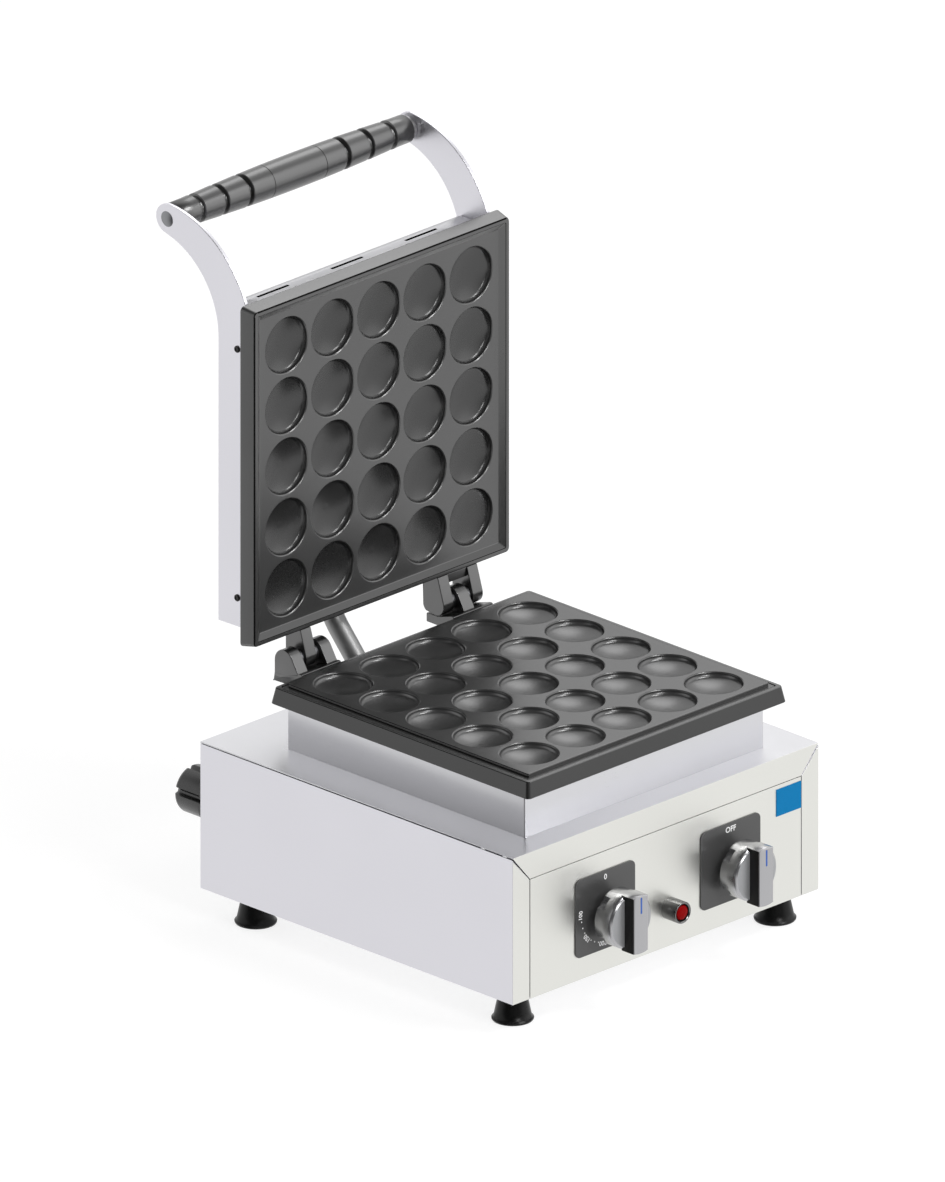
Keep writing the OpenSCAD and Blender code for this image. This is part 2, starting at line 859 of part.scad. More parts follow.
module gland_nut() {
    len = gland_len - gland_flange_t - 0.3;
    color([0.1, 0.1, 0.1]) place() difference() {
        translate([gland_x, base_d + gland_flange_t + 0.3, gland_z]) rotate([-90, 0, 0])
            rotate_extrude() polygon([
                [0, 0], [gland_nut_r, 0], [gland_nut_r, len - 3.4], [gland_nut_r - 0.9, len - 1],
                [gland_nut_r - 3.2, len], [0, len]
            ]);
        gland_bore();
        rod_y(gland_thread_r + fixed_fit, base_d, base_d + gland_seal_y[1] + 0.2,
            gland_x, gland_z);
        for (i = [0 : gland_flutes - 1]) {
            a = gland_flute_turn + i * 360 / gland_flutes;
            r = gland_nut_r - gland_flute_in;
            rod_y(gland_flute_r, base_d + gland_flange_t - 1, base_d + gland_len + 1,
                gland_x + r * cos(a), gland_z + r * sin(a));
        }
    }
}

module gland_locknut() {
    color([0.12, 0.12, 0.12]) place() difference() {
        translate([gland_x, base_d - sheet_t - gland_lock[1], gland_z]) rotate([-90, 0, 0])
            hexagon(gland_lock[0], gland_lock[1]);
        rod_y(gland_thread_r + fixed_fit, base_d - gland_inside, base_d, gland_x, gland_z);
    }
}

// Steel conduit that leads the wires from the base to the lid

// Stations along the conduit's middle line, each with y, z and its lean from upright
conduit_low = base_h + conduit_rise;
conduit_mid = [conduit_y + conduit_bend * (1 - cos(conduit_lean)),
    conduit_low + conduit_bend * sin(conduit_lean)];
conduit_high = conduit_mid + conduit_straight * [sin(conduit_lean), cos(conduit_lean)];
conduit_turn = conduit_high + conduit_bend * [-cos(conduit_lean), sin(conduit_lean)];
conduit_stations = concat(
    [[conduit_y, base_h - 8, 0]],
    [for (i = [0 : bend_steps]) let (a = conduit_lean * i / bend_steps)
        [conduit_y + conduit_bend * (1 - cos(a)), conduit_low + conduit_bend * sin(a), a]],
    [for (i = [0 : bend_steps]) let (a = conduit_lean * (1 - i / bend_steps))
        [conduit_turn[0] + conduit_bend * cos(a), conduit_turn[1] - conduit_bend * sin(a), a]]
);

// The conduit is drawn filled: the wires inside it aren't drawn
module conduit() {
    last = len(conduit_stations) - 1;
    rings = [
        for (s = conduit_stations, k = [0 : conduit_sides - 1])
            let (t = 360 * k / conduit_sides, across = conduit_r * sin(t))
            [conduit_x + conduit_r * cos(t), s[0] + across * cos(s[2]), s[1] - across * sin(s[2])]
    ];
    walls = [
        for (i = [0 : last - 1], k = [0 : conduit_sides - 1])
            let (a = i * conduit_sides, n = (k + 1) % conduit_sides)
            [a + k, a + conduit_sides + k, a + conduit_sides + n, a + n]
    ];
    ends = [
        [for (k = [0 : conduit_sides - 1]) k],
        [for (k = [conduit_sides - 1 : -1 : 0]) last * conduit_sides + k]
    ];
    color("silver") place() polyhedron(rings, concat(walls, ends));
}

module conduit_base_nut() {
    color("lightgray") place() difference() {
        translate([conduit_x, conduit_y, base_h]) cylinder(r = 10, h = 3);
        rod_z(conduit_r + 0.1, base_h - 1, base_h + 8, conduit_x, conduit_y);
    }
}

// Hinges

// Outline of a lug on the lower casting, from the hinge axis
module lower_lug() {
    tip = [-lug_r * cos(lug_lean), lug_r * sin(lug_lean)];
    heel = tip[0] - (tip[1] - web_top) * tan(lug_lean);
    circle(lug_r);
    polygon([tip, [heel, web_top], [heel, -skirt_h - axis_up], [lug_r, -skirt_h - axis_up],
        [lug_r, 0]]);
}

// Outline of the foot of the lower casting, shaped to the leaning skirt
module lower_web() {
    low = -skirt_h - axis_up;
    slope = flare / skirt_h;
    polygon([
        [-axis_back, low], [lug_r, low], [lug_r, web_top], [web_rise_start, web_top],
        [web_rise_end, web_crest], [-axis_back - slope * (web_crest - low), web_crest]
    ]);
}

module lower_casting(side, lugs) {
    x = side * hinge_x;
    color("dimgray") place() translate([mid_x + x, axis_y, axis_z]) difference() {
        union() {
            along_x(-casting_half, casting_half) lower_web();
            for (lug = lugs) along_x(lug[0], lug[1]) lower_lug();
        }
        rod_x(pin_r + fixed_fit, -casting_half + blind_wall, casting_half + 1, 0, 0);
        for (end = [-1, 1]) {
            rod_y(hinge_screw_r + 0.1, -axis_back - 3, lug_r + 1, end * hinge_screw_x,
                lower_screw_z - axis_z);
            rod_y(hinge_head_r + 0.1, -8, lug_r + 1, end * hinge_screw_x,
                lower_screw_z - axis_z);
        }
    }
}

pair_lugs = [[-casting_half, -lug_inner], [lug_inner, casting_half]];
tongue_lug = [[-tongue_half, tongue_half]];

module lower_hinge_left() { lower_casting(-1, pair_lugs); }
module lower_hinge_right() { lower_casting(1, tongue_lug); }

module lower_hinge_screws() {
    color("gray") place() for (side = [-1, 1], end = [-1, 1]) {
        x = mid_x + side * hinge_x + end * hinge_screw_x;
        rod_y(hinge_screw_r, plate_back - 9, axis_y - 8, x, lower_screw_z);
        rod_y(hinge_head_r, axis_y - 8, axis_y - 4, x, lower_screw_z);
    }
}

module hinge_pin(side) {
    x = mid_x + side * hinge_x;
    color("gray") place()
        rod_x(pin_r, x - casting_half + blind_wall + 0.2, x + casting_half, axis_y, axis_z);
}

module hinge_pin_left() { hinge_pin(-1); }
module hinge_pin_right() { hinge_pin(1); }

// Loose rings that keep the lugs apart on the pins
module hinge_spacers() {
    gap = 0.3;
    color("darkgray") place() for (side = [-1, 1], end = [-1, 1]) {
        middle = mid_x + side * hinge_x + end * (lug_inner + tongue_half) / 2;
        half = (lug_inner - tongue_half) / 2 - gap;
        difference() {
            rod_x(6.5, middle - half, middle + half, axis_y, axis_z);
            rod_x(pin_r + fixed_fit, middle - half - 1, middle + half + 1, axis_y, axis_z);
        }
    }
}

// Outline of a lug on the lid's casting, given as v and u with the lid open
module upper_lug() {
    tip = [-knuckle_r * cos(knuckle_lean), knuckle_r * sin(knuckle_lean)];
    plate_u = rim_u0;
    tip_v = tip[0] + (plate_u - tip[1]) * tan(knuckle_lean);
    slope = flare / lid_plate_t;
    circle(knuckle_r);
    polygon([
        tip, [tip_v, plate_u - slope * (tip_v - rim_v)], [back_v, rim_u0 - flare],
        [back_v, flange_u], [flange_v, flange_u], [flange_v, -knuckle_r], [0, -knuckle_r]
    ]);
}

// Outline of the flange and bridge that join the lugs of the lid's casting
module upper_web() {
    slope = flare / lid_plate_t;
    front_v = -1.5;
    polygon([
        [front_v, bridge_u], [flange_v, bridge_u], [flange_v, flange_u], [back_v, flange_u],
        [back_v, rim_u0 - flare], [front_v, rim_u0 - slope * (front_v - rim_v)]
    ]);
}

bridge_u = 14;
upper_screw_u = 24.2;

module upper_casting(side, lugs) {
    bridge = [lugs[0][0], lugs[len(lugs) - 1][1]];
    color("dimgray") place() translate([mid_x + side * hinge_x, axis_y, axis_z]) difference() {
        union() {
            along_x(bridge[0], bridge[1]) upper_web();
            along_x(-casting_half, casting_half)
                translate([back_v, rim_u0 - flare])
                    square([flange_v - back_v, flange_u - rim_u0 + flare]);
            for (lug = lugs) along_x(lug[0], lug[1]) upper_lug();
        }
        rod_x(pin_r + turning_fit, -casting_half + blind_wall, casting_half + 1, 0, 0);
        for (end = [-1, 1]) {
            rod_y(hinge_screw_r + 0.1, back_v - 1, flange_v + 1, end * hinge_screw_x,
                upper_screw_u);
        }
    }
}

module upper_hinge_left() { upper_casting(-1, tongue_lug); }
module upper_hinge_right() { upper_casting(1, pair_lugs); }

module upper_hinge_screws() {
    color("gray") place() translate([mid_x, axis_y, axis_z]) {
        for (side = [-1, 1], end = [-1, 1]) {
            x = side * hinge_x + end * hinge_screw_x;
            rod_y(hinge_screw_r, back_v - 5, flange_v, x, upper_screw_u);
            rod_y(hinge_head_r, flange_v, flange_v + 3, x, upper_screw_u);
        }
    }
}

// Lid

block_t = 3;

module upper_plate() {
    open_x = rim_x - rim_w;
    block_x = cover_x - 3;
    block_l = cover_len / 2 - 3;
    color("dimgray") lid_place() difference() {
        union() {
            leaning_slab([-rim_x, -rim_u1, rim_v], [rim_x, -rim_u0, back_v], flare);
            box([-block_x, -lid_mid_u - block_l, back_v - 1],
                [block_x, -lid_mid_u + block_l, back_v + block_t]);
        }
        leaning_slab([-open_x, -rim_u1 + rim_w, rim_v], [open_x, -rim_u0 - rim_w, face_v],
            -rim_lean);
        translate([0, -lid_mid_u, face_v]) mirror([0, 0, 1]) wells();
        translate([0, -lid_mid_u, back_v + block_t]) mirror([0, 0, 1]) stud_places()
            translate([0, 0, -1]) cylinder(r = stud_r + 0.05, h = stud_deep + 1);
        for (side = [-1, 1], end = [-1, 1]) {
            rod_z(hinge_screw_r + 0.05, back_v - 6, back_v + 1,
                side * hinge_x + end * hinge_screw_x, -upper_screw_u);
        }
    }
}

// Bed of the lid plate, turned so that heater and pad build up away from the plate
module upper_bed() {
    lid_place() translate([0, -lid_mid_u, back_v + block_t]) rotate([0, 180, 0]) children();
}

upper_pad_t = 12;

module upper_heater() {
    color("darkgray") upper_bed() difference() {
        heater();
        box([-150, -150, -60], [150, 150, -2 * heater_r - 6]);
    }
}

module upper_insulation() {
    color("beige") upper_bed() translate([0, 0, pad_z]) difference() {
        insulation_pad();
        box([-pad_w, -pad_l, -pad_t - 1], [pad_w, pad_l, -upper_pad_t]);
    }
}

module upper_retainer() {
    color("silver") upper_bed() translate([0, 0, pad_z - upper_pad_t]) retainer_sheet();
}

module upper_retainer_screws() {
    color("gray") upper_bed() translate([0, 0, pad_z - upper_pad_t])
        retainer_studs(stud_deep - pad_z + upper_pad_t - 0.5);
}

vent_v = cover_v - 6.6;
vent_step = 75;

module lid_cover() {
    color("silver") lid_place() difference() {
        box([-cover_x, -cover_u1, back_v], [cover_x, -cover_u0, cover_v]);
        box([-cover_x + sheet_t, -cover_u1 + sheet_t, back_v - 1],
            [cover_x - sheet_t, -cover_u0 - sheet_t, cover_v - sheet_t]);
        for (i = [-1 : 1]) {
            box([i * vent_step - vent_len / 2, -cover_u1 - 1, vent_v - vent_w / 2],
                [i * vent_step + vent_len / 2, -cover_u1 + 3, vent_v + vent_w / 2]);
        }
        rod_y(conduit_r + 0.6, -cover_u0 - 3, -cover_u0 + 1, conduit_x - mid_x, conduit_v);
        for (side = [-1, 1], u = side_screw_u) {
            rod_x(small_screw_r + 0.1, side * cover_x - 3, side * cover_x + 3, -u, side_screw_v);
        }
    }
}

conduit_top_y = conduit_y + 2 * conduit_bend * (1 - cos(conduit_lean))
    + conduit_straight * sin(conduit_lean);
conduit_v = conduit_top_y - axis_y;
side_screw_u = [52.2, 244.2];
side_screw_v = 19.9;
side_head = [2.6, 1.2];

// Outline of a side plate with its arm, given as v and u
module side_outline() {
    difference() {
        union() {
            translate([back_v, cover_u0]) square([cover_t, cover_len]);
            intersection() {
                translate([arm_front[0], arm_front[1]]) circle(arm_front[2], $fn = 96);
                translate([back_v, arm_back[1]]) square([handle_v - back_v, 100]);
            }
        }
        intersection() {
            translate([arm_back[0], arm_back[1]]) circle(arm_back[2], $fn = 96);
            translate([cover_v + 0.1, arm_back[1] - 1]) square([80, 100]);
        }
    }
    translate([handle_v, handle_u]) circle(arm_end_r);
}

module side_plate(side) {
    inner = side * cover_x;
    outer = side * (cover_x + arm_t);
    color("gainsboro") place() translate([mid_x, axis_y, axis_z]) difference() {
        along_x(min(inner, outer), max(inner, outer)) side_outline();
        rod_x(rod_r + fixed_fit, -cover_x - 10, cover_x + 10, handle_v, handle_u);
        for (u = side_screw_u) {
            rod_x(small_screw_r + 0.1, -cover_x - 10, cover_x + 10, side_screw_v, u);
        }
    }
}

module side_plate_left() { side_plate(-1); }
module side_plate_right() { side_plate(1); }

module side_plate_screws() {
    color("dimgray") place() translate([mid_x, axis_y, axis_z]) {
        for (side = [-1, 1], u = side_screw_u) {
            outer = side * (cover_x + arm_t);
            head = outer + side * side_head[1];
            tail = outer - side * small_screw_len;
            rod_x(side_head[0], min(outer, head), max(outer, head), side_screw_v, u);
            rod_x(small_screw_r, min(outer, tail), max(outer, tail), side_screw_v, u);
        }
    }
}

// Handle

grip_half = 117.3;
groove_half = 2;
groove_r = 8.4;
groove_places = [49.2, 73.5, 97];
ring_r = 9;

module handle_rod() {
    color("lightgray") place() translate([mid_x, axis_y, axis_z])
        rod_x(rod_r, -cover_x - arm_t - 0.3, cover_x + arm_t + 0.3, handle_v, handle_u);
}

// Radius of the grip at a distance from its middle
function grip_r(x) = grip_end_r + (grip_mid_r - grip_end_r) * cos(90 * x / grip_half);

module handle_grip() {
    steps = 24;
    color([0.2, 0.2, 0.2]) place() translate([mid_x, axis_y + handle_v, axis_z + handle_u])
        rotate([0, 90, 0]) difference() {
            rotate_extrude() polygon(concat(
                [[0, -grip_half]],
                [for (i = [-steps : steps]) [grip_r(i * grip_half / steps), i * grip_half / steps]],
                [[0, grip_half]]
            ));
            translate([0, 0, -grip_half - 1])
                cylinder(r = rod_r + fixed_fit, h = 2 * grip_half + 2);
            for (end = [-1, 1], g = groove_places) {
                translate([0, 0, end * g - groove_half]) difference() {
                    cylinder(r = 20, h = 2 * groove_half);
                    translate([0, 0, -1]) cylinder(r = groove_r, h = 2 * groove_half + 2);
                }
            }
        }
}

module handle_rings() {
    color("lightgray") place() translate([mid_x, axis_y, axis_z]) for (side = [-1, 1]) {
        difference() {
            rod_x(ring_r, min(side * (grip_half + 0.1), side * cover_x),
                max(side * (grip_half + 0.1), side * cover_x), handle_v, handle_u);
            rod_x(rod_r + fixed_fit, -cover_x - 10, cover_x + 10, handle_v, handle_u);
        }
    }
}

// Knobs, each with its shaft

module knob(x) {
    back = -dial_t - knob_gap;
    color("silver") place() {
        difference() {
            union() {
                rod_y(knob_boss_r, -knob_body_back, back, x, knob_z);
                rod_y(knob_r, -knob_body_front + knob_chamfer, -knob_body_back, x, knob_z);
                translate([x, -knob_body_front + knob_chamfer, knob_z]) rotate([90, 0, 0])
                    cylinder(r1 = knob_r, r2 = knob_r - knob_chamfer, h = knob_chamfer);
                intersection() {
                    rod_y(knob_bar_len / 2, -knob_reach, -knob_body_front, x, knob_z);
                    box([x - knob_bar_w / 2, -knob_reach, knob_z - 50],
                        [x + knob_bar_w / 2, -knob_body_front, knob_z + 50]);
                }
            }
            for (i = [0 : knob_notches - 1]) {
                a = (i + 0.5) * 360 / knob_notches;
                rod_y(knob_notch_r, -knob_body_back - knob_notch_l, -knob_body_back + 1,
                    x + (knob_r + knob_notch_out) * cos(a), knob_z + (knob_r + knob_notch_out) * sin(a));
            }
            rod_y(bush_r + 0.6, back - 6, back + 1, x, knob_z);
        }
        rod_y(shaft_r, back - 7, shaft_end, x, knob_z);
    }
}

module thermostat_knob() { knob(thermostat_x); }
module switch_knob() { knob(switch_x); }

base_top_panel();
base_side_left();
base_side_right();
base_back_panel();
base_bottom_plate();
control_panel();
base_screws();
foot_front_left();
foot_front_right();
foot_back_left();
foot_back_right();
foot_studs();
collar();
lower_plate();
lower_heater();
lower_insulation();
lower_retainer();
lower_retainer_screws();
thermostat_body();
thermostat_probe();
thermostat_dial_plate();
switch_body();
switch_dial_plate();
control_nuts();
pilot_lamp_bezel();
pilot_lamp_lens();
pilot_lamp_body();
front_badge();
terminal_block();
terminal_screws();
wiring();
gland_body();
gland_seal();
gland_nut();
gland_locknut();
conduit();
conduit_base_nut();
lower_hinge_left();
lower_hinge_right();
hinge_pin_left();
hinge_pin_right();
hinge_spacers();
lower_hinge_screws();
upper_plate();
upper_heater();
upper_insulation();
upper_retainer();
upper_retainer_screws();
upper_hinge_left();
upper_hinge_right();
upper_hinge_screws();
lid_cover();
side_plate_left();
side_plate_right();
side_plate_screws();
handle_rod();
handle_grip();
handle_rings();
thermostat_knob();
switch_knob();
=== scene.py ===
import json
import math

import bmesh
import bpy
from mathutils import Matrix, Vector


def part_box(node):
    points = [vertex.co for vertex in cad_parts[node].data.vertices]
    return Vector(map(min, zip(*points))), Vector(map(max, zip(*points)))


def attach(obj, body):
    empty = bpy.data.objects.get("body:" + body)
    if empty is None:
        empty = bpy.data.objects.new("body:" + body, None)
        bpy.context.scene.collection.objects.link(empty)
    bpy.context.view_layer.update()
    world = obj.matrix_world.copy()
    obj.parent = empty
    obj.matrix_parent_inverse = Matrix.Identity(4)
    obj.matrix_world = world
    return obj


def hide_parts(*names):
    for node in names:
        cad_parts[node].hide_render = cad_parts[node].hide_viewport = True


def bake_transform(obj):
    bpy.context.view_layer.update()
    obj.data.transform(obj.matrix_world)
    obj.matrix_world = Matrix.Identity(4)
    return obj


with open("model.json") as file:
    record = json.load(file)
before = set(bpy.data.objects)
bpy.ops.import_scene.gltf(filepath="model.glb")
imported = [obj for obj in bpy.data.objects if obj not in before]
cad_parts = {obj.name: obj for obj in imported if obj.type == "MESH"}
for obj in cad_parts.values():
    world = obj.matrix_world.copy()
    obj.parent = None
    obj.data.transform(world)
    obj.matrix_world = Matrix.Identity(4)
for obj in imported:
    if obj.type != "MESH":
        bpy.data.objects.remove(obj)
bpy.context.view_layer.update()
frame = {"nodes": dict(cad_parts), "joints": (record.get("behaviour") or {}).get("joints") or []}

# Sizes are in millimetres and angles in degrees, unless a comment says otherwise

MM = 0.001
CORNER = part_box("base_side_left")[0]
HINGE = Vector(frame["joints"][0]["pos_m"])
MIDDLE = 155


def at(x, y, z):
    """Point in millimetres from the base box's front left bottom corner"""
    return CORNER + Vector((x, y, z)) * MM


def on_lid(x, u, v):
    """Point of the open lid: x from the middle, u up from the hinge axis, v behind it"""
    return HINGE + Vector((x, v, u)) * MM


# Node helpers

def node_of(tree, kind, inputs):
    """New node; each of its inputs gets a value or another node's output"""
    node = tree.nodes.new(kind)
    for key, value in inputs.items():
        if isinstance(value, bpy.types.NodeSocket):
            tree.links.new(value, node.inputs[key])
        else:
            node.inputs[key].default_value = value
    return node


def math_of(tree, operation, a, b):
    """Output of one math node; a and b are outputs or numbers"""
    node = node_of(tree, "ShaderNodeMath", {0: a, 1: b})
    node.operation = operation
    return node.outputs[0]


def dot_of(tree, point, vector):
    """How far a point lies along a vector"""
    node = node_of(tree, "ShaderNodeVectorMath", {0: point, 1: vector})
    node.operation = "DOT_PRODUCT"
    return node.outputs["Value"]


def smooth_ramp(tree, value, low, high):
    """0 where value is under low and 1 where it is over high"""
    node = node_of(tree, "ShaderNodeMapRange",
                   {"Value": value, "From Min": low, "From Max": high})
    node.interpolation_type = "SMOOTHSTEP"
    return node.outputs["Result"]


def ray_is(tree, kind):
    """1 on rays of one kind and 0 on all others"""
    return tree.nodes.new("ShaderNodeLightPath").outputs[kind]


def seen_rays(tree):
    """1 on rays from the camera, off gloss or through glass, and 0 on all others"""
    total = ray_is(tree, "Is Camera Ray")
    for kind in ("Is Glossy Ray", "Is Transmission Ray"):
        total = math_of(tree, "MAXIMUM", total, ray_is(tree, kind))
    return total


# Materials

GRAIN_DETAIL = 4
BROAD_SCALE = 14
BROAD_DETAIL = 3
NOISE_RANGE = (0.3, 0.7)
LEAST_ROUGH = 0.02
RELIEF_DEPTH = 0.4


def tone(r, g, b):
    """Linear colour of a screen colour from 0 to 255"""
    def linear(c):
        c = c / 255
        return c / 12.92 if c <= 0.04045 else ((c + 0.055) / 1.055) ** 2.4
    return (linear(r), linear(g), linear(b), 1)


def grey(value):
    """Linear colour of a screen grey from 0 to 255"""
    return tone(value, value, value)


def finish_of(name, colour, rough, metal=0.0, stretch=(1, 1, 1), scale=400, shade=0.05,
              rough_spread=0.08, bump=0.05, specular=0.5):
    """Principled material whose colour, roughness and relief vary with fine noise"""
    mat = bpy.data.materials.new(name)
    mat.use_nodes = True
    tree = mat.node_tree
    shader = tree.nodes["Principled BSDF"]
    shader.inputs["Metallic"].default_value = metal
    shader.inputs["Specular IOR Level"].default_value = specular
    place = tree.nodes.new("ShaderNodeTexCoord").outputs["Object"]
    mapping = node_of(tree, "ShaderNodeMapping", {"Vector": place, "Scale": stretch})
    grain = node_of(tree, "ShaderNodeTexNoise", {
        "Vector": mapping.outputs["Vector"], "Scale": scale, "Detail": GRAIN_DETAIL})
    broad = node_of(tree, "ShaderNodeTexNoise", {
        "Vector": place, "Scale": BROAD_SCALE, "Detail": BROAD_DETAIL})
    both = math_of(tree, "ADD", grain.outputs["Fac"], broad.outputs["Fac"])
    noise = math_of(tree, "MULTIPLY", both, 0.5)
    ramp = node_of(tree, "ShaderNodeValToRGB", {"Fac": noise})
    for stop, level, change in zip(ramp.color_ramp.elements, NOISE_RANGE, (-shade, shade)):
        stop.position = level
        stop.color = [min(1, c * (1 + change)) for c in colour[:3]] + [1]
    spread = node_of(tree, "ShaderNodeMapRange", {
        "Value": noise, "From Min": NOISE_RANGE[0], "From Max": NOISE_RANGE[1],
        "To Min": max(LEAST_ROUGH, rough - rough_spread), "To Max": rough + rough_spread})
    relief = node_of(tree, "ShaderNodeBump", {
        "Strength": bump, "Distance": RELIEF_DEPTH * MM, "Height": grain.outputs["Fac"]})
    tree.links.new(ramp.outputs["Color"], shader.inputs["Base Color"])
    tree.links.new(spread.outputs["Result"], shader.inputs["Roughness"])
    tree.links.new(relief.outputs["Normal"], shader.inputs["Normal"])
    return mat


def brushed(name, colour, rough):
    """Sheet steel whose fine grain runs level"""
    return finish_of(name, colour, rough, metal=1.0, stretch=(1, 1, 24), scale=90, shade=0.012,
                     rough_spread=0.03, bump=0.02)


def cast(name, value, rough, metal=1.0):
    """Dark cast metal of the baking plates"""
    return finish_of(name, grey(value), rough, metal=metal, scale=1400, rough_spread=0.03,
                     bump=0.04)


def turned(name, colour, rough, metal=1.0):
    """Smooth metal of the knobs"""
    return finish_of(name, colour, rough, metal=metal, scale=900, shade=0.03,
                     rough_spread=0.03, bump=0.01)


SHEET = brushed("brushed_sheet", tone(218, 218, 221), 0.3)
# The front and side copies of the sheet steel are lighter and tinted: painted light, warmer on the
# front and bluer on the sides
FRONT_LIT_STEEL = brushed("brushed_painted_light_front", tone(230, 230, 225), 0.36)
SIDE_LIT_STEEL = brushed("brushed_painted_light_side", tone(231, 230, 236), 0.36)
BRIGHT = finish_of("bright_steel", grey(196), 0.34, metal=1.0, scale=500, shade=0.03,
                   rough_spread=0.05, bump=0.02)
ZINC = finish_of("zinc_steel", tone(140, 141, 144), 0.35, metal=1.0, scale=700, shade=0.06)
BLACK_SCREW = finish_of("black_screw", grey(34), 0.35, scale=800, shade=0.1)
PLATE = cast("non_stick_plate", 102, 0.3, metal=0.9)
# Lighter copy of the plate finish for the lid plate's sides and top edge: painted light
PLATE_LIT_EDGE = cast("plate_painted_light_edge", 136, 0.36)
# Darker copy of the plate finish for the insides of the lid's wells: painted shade in the hollows
PLATE_SHADED_WELL = cast("non_stick_painted_shade_well", 80, 0.28, metal=0.95)
# Darker copy of the plate finish for the skirts under the rims: painted shade
PLATE_SHADED_SKIRT = cast("plate_painted_shade_skirt", 82, 0.34)
CASTING = finish_of("hinge_casting", grey(110), 0.3, metal=1.0, scale=1600, shade=0.03,
                    rough_spread=0.02, bump=0.005)
RUBBER = finish_of("foot_rubber", grey(8), 0.32, scale=600, shade=0.15, bump=0.08,
                   specular=0.25)
BLACK = finish_of("black_plastic", grey(22), 0.26, scale=1200, shade=0.08, rough_spread=0.03,
                  bump=0.01, specular=0.7)
GRIP = finish_of("grip_plastic", grey(108), 0.3, metal=0.9, scale=1200, shade=0.04,
                 rough_spread=0.03, bump=0.03)
TUBE = finish_of("conduit_steel", grey(150), 0.45, metal=1.0, scale=500, shade=0.03,
                 rough_spread=0.03, bump=0.02)
DIAL = finish_of("dial_face", grey(70), 0.3, scale=1200, shade=0.02, rough_spread=0.02,
                 bump=0.01, specular=0.6)
# Near black for slots, the lamp ring's recess and fine lines along the plates' steps and well
# rims: painted shade and dark reflections
PAINTED_SHADE = finish_of("painted_dark_shade", grey(12), 0.8, scale=600, shade=0.2, specular=0.1)
PRINT = finish_of("white_print", grey(250), 0.5, scale=900, shade=0.02, bump=0.02)
KNOB = turned("knob_metal", tone(178, 178, 180), 0.24)
KNOB_FRONT = turned("knob_face", tone(176, 177, 179), 0.55, metal=0.8)
# Dark copy of the knob metal for the bar's flanks: painted dark reflection
KNOB_SHADED_FLANK = turned("knob_painted_shade_flank", grey(66), 0.3)
BEZEL = finish_of("dark_chrome", grey(120), 0.2, metal=1.0, scale=300, shade=0.04,
                  rough_spread=0.04, bump=0.02)
LENS = finish_of("red_lens", tone(132, 0, 2), 0.3, scale=300, shade=0.1, bump=0.02,
                 specular=0.05)
BLUE = finish_of("blue_sticker", tone(8, 118, 174), 0.5, scale=500, shade=0.03, bump=0.02,
                 specular=0.08)
POINTER = finish_of("pointer_blue", tone(36, 84, 170), 0.4, scale=500, shade=0.04)
WHITE = finish_of("white_housing", tone(228, 226, 218), 0.5, scale=500, shade=0.03)
TAN = finish_of("control_housing", tone(190, 172, 148), 0.55, scale=500, shade=0.06)
HEATER = finish_of("heater_tube", tone(120, 118, 116), 0.5, metal=1.0, shade=0.12)
WOOL = finish_of("mineral_wool", tone(226, 220, 204), 0.9, scale=250, shade=0.12, bump=0.6)
COPPER = finish_of("copper_tube", tone(214, 150, 118), 0.3, metal=1.0, shade=0.08)
BRASS = finish_of("brass_screw", tone(214, 186, 118), 0.3, metal=1.0, shade=0.06)
WIRE = finish_of("wire_cover", tone(120, 66, 46), 0.6, shade=0.08)

NODE_FINISH = {
    SHEET: ["base_bottom_plate", "base_back_panel", "lower_retainer", "upper_retainer"],
    ZINC: ["base_screws", "foot_studs", "control_nuts", "lower_retainer_screws",
           "upper_retainer_screws", "hinge_spacers"],
    BRIGHT: ["hinge_pin_left", "hinge_pin_right", "conduit_base_nut"],
    BLACK_SCREW: ["lower_hinge_screws", "upper_hinge_screws"],
    WHITE: ["pilot_lamp_body", "terminal_block"],
    TAN: ["thermostat_body", "switch_body"],
    HEATER: ["lower_heater", "upper_heater"],
    WOOL: ["lower_insulation", "upper_insulation"],
    COPPER: ["thermostat_probe"],
    BRASS: ["terminal_screws"],
    WIRE: ["wiring"],
    RUBBER: ["gland_seal"],
    BLACK: ["gland_locknut"],
}
for mat, names in NODE_FINISH.items():
    for name in names:
        mesh = frame["nodes"][name].data
        mesh.materials.clear()
        mesh.materials.append(mat)


# Mesh helpers

BEVEL_STEPS = 2
NORMAL_WEIGHT = 60
MERGE = 0.001


def piece(name, bm, mat, body, replaces=(), bevel=0.0, sharp=32):
    """Makes a mesh piece that rides on a body; bevel is the edges' rounding in millimetres"""
    bmesh.ops.remove_doubles(bm, verts=bm.verts, dist=MERGE * MM)
    bmesh.ops.recalc_face_normals(bm, faces=bm.faces)
    for face in bm.faces:
        face.smooth = True
    mesh = bpy.data.meshes.new(name)
    bm.to_mesh(mesh)
    bm.free()
    mesh.materials.append(mat)
    obj = bpy.data.objects.new(name, mesh)
    bpy.context.scene.collection.objects.link(obj)
    if bevel:
        edges = obj.modifiers.new("edges", "BEVEL")
        edges.width = bevel * MM
        edges.segments = BEVEL_STEPS
        edges.limit_method = "ANGLE"
        edges.angle_limit = math.radians(sharp)
        edges.use_clamp_overlap = True
        normals = obj.modifiers.new("normals", "WEIGHTED_NORMAL")
        normals.weight = NORMAL_WEIGHT
    else:
        mesh.set_sharp_from_angle(angle=math.radians(sharp))
    if body:
        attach(obj, body)
    if replaces:
        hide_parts(*replaces)
    return obj


def also(obj, mat, chosen):
    """Gives the faces that chosen(face) picks a second material"""
    obj.data.materials.append(mat)
    index = len(obj.data.materials) - 1
    for face in obj.data.polygons:
        if chosen(face):
            face.material_index = index


def faces_front(face):
    return face.normal.y < -0.9


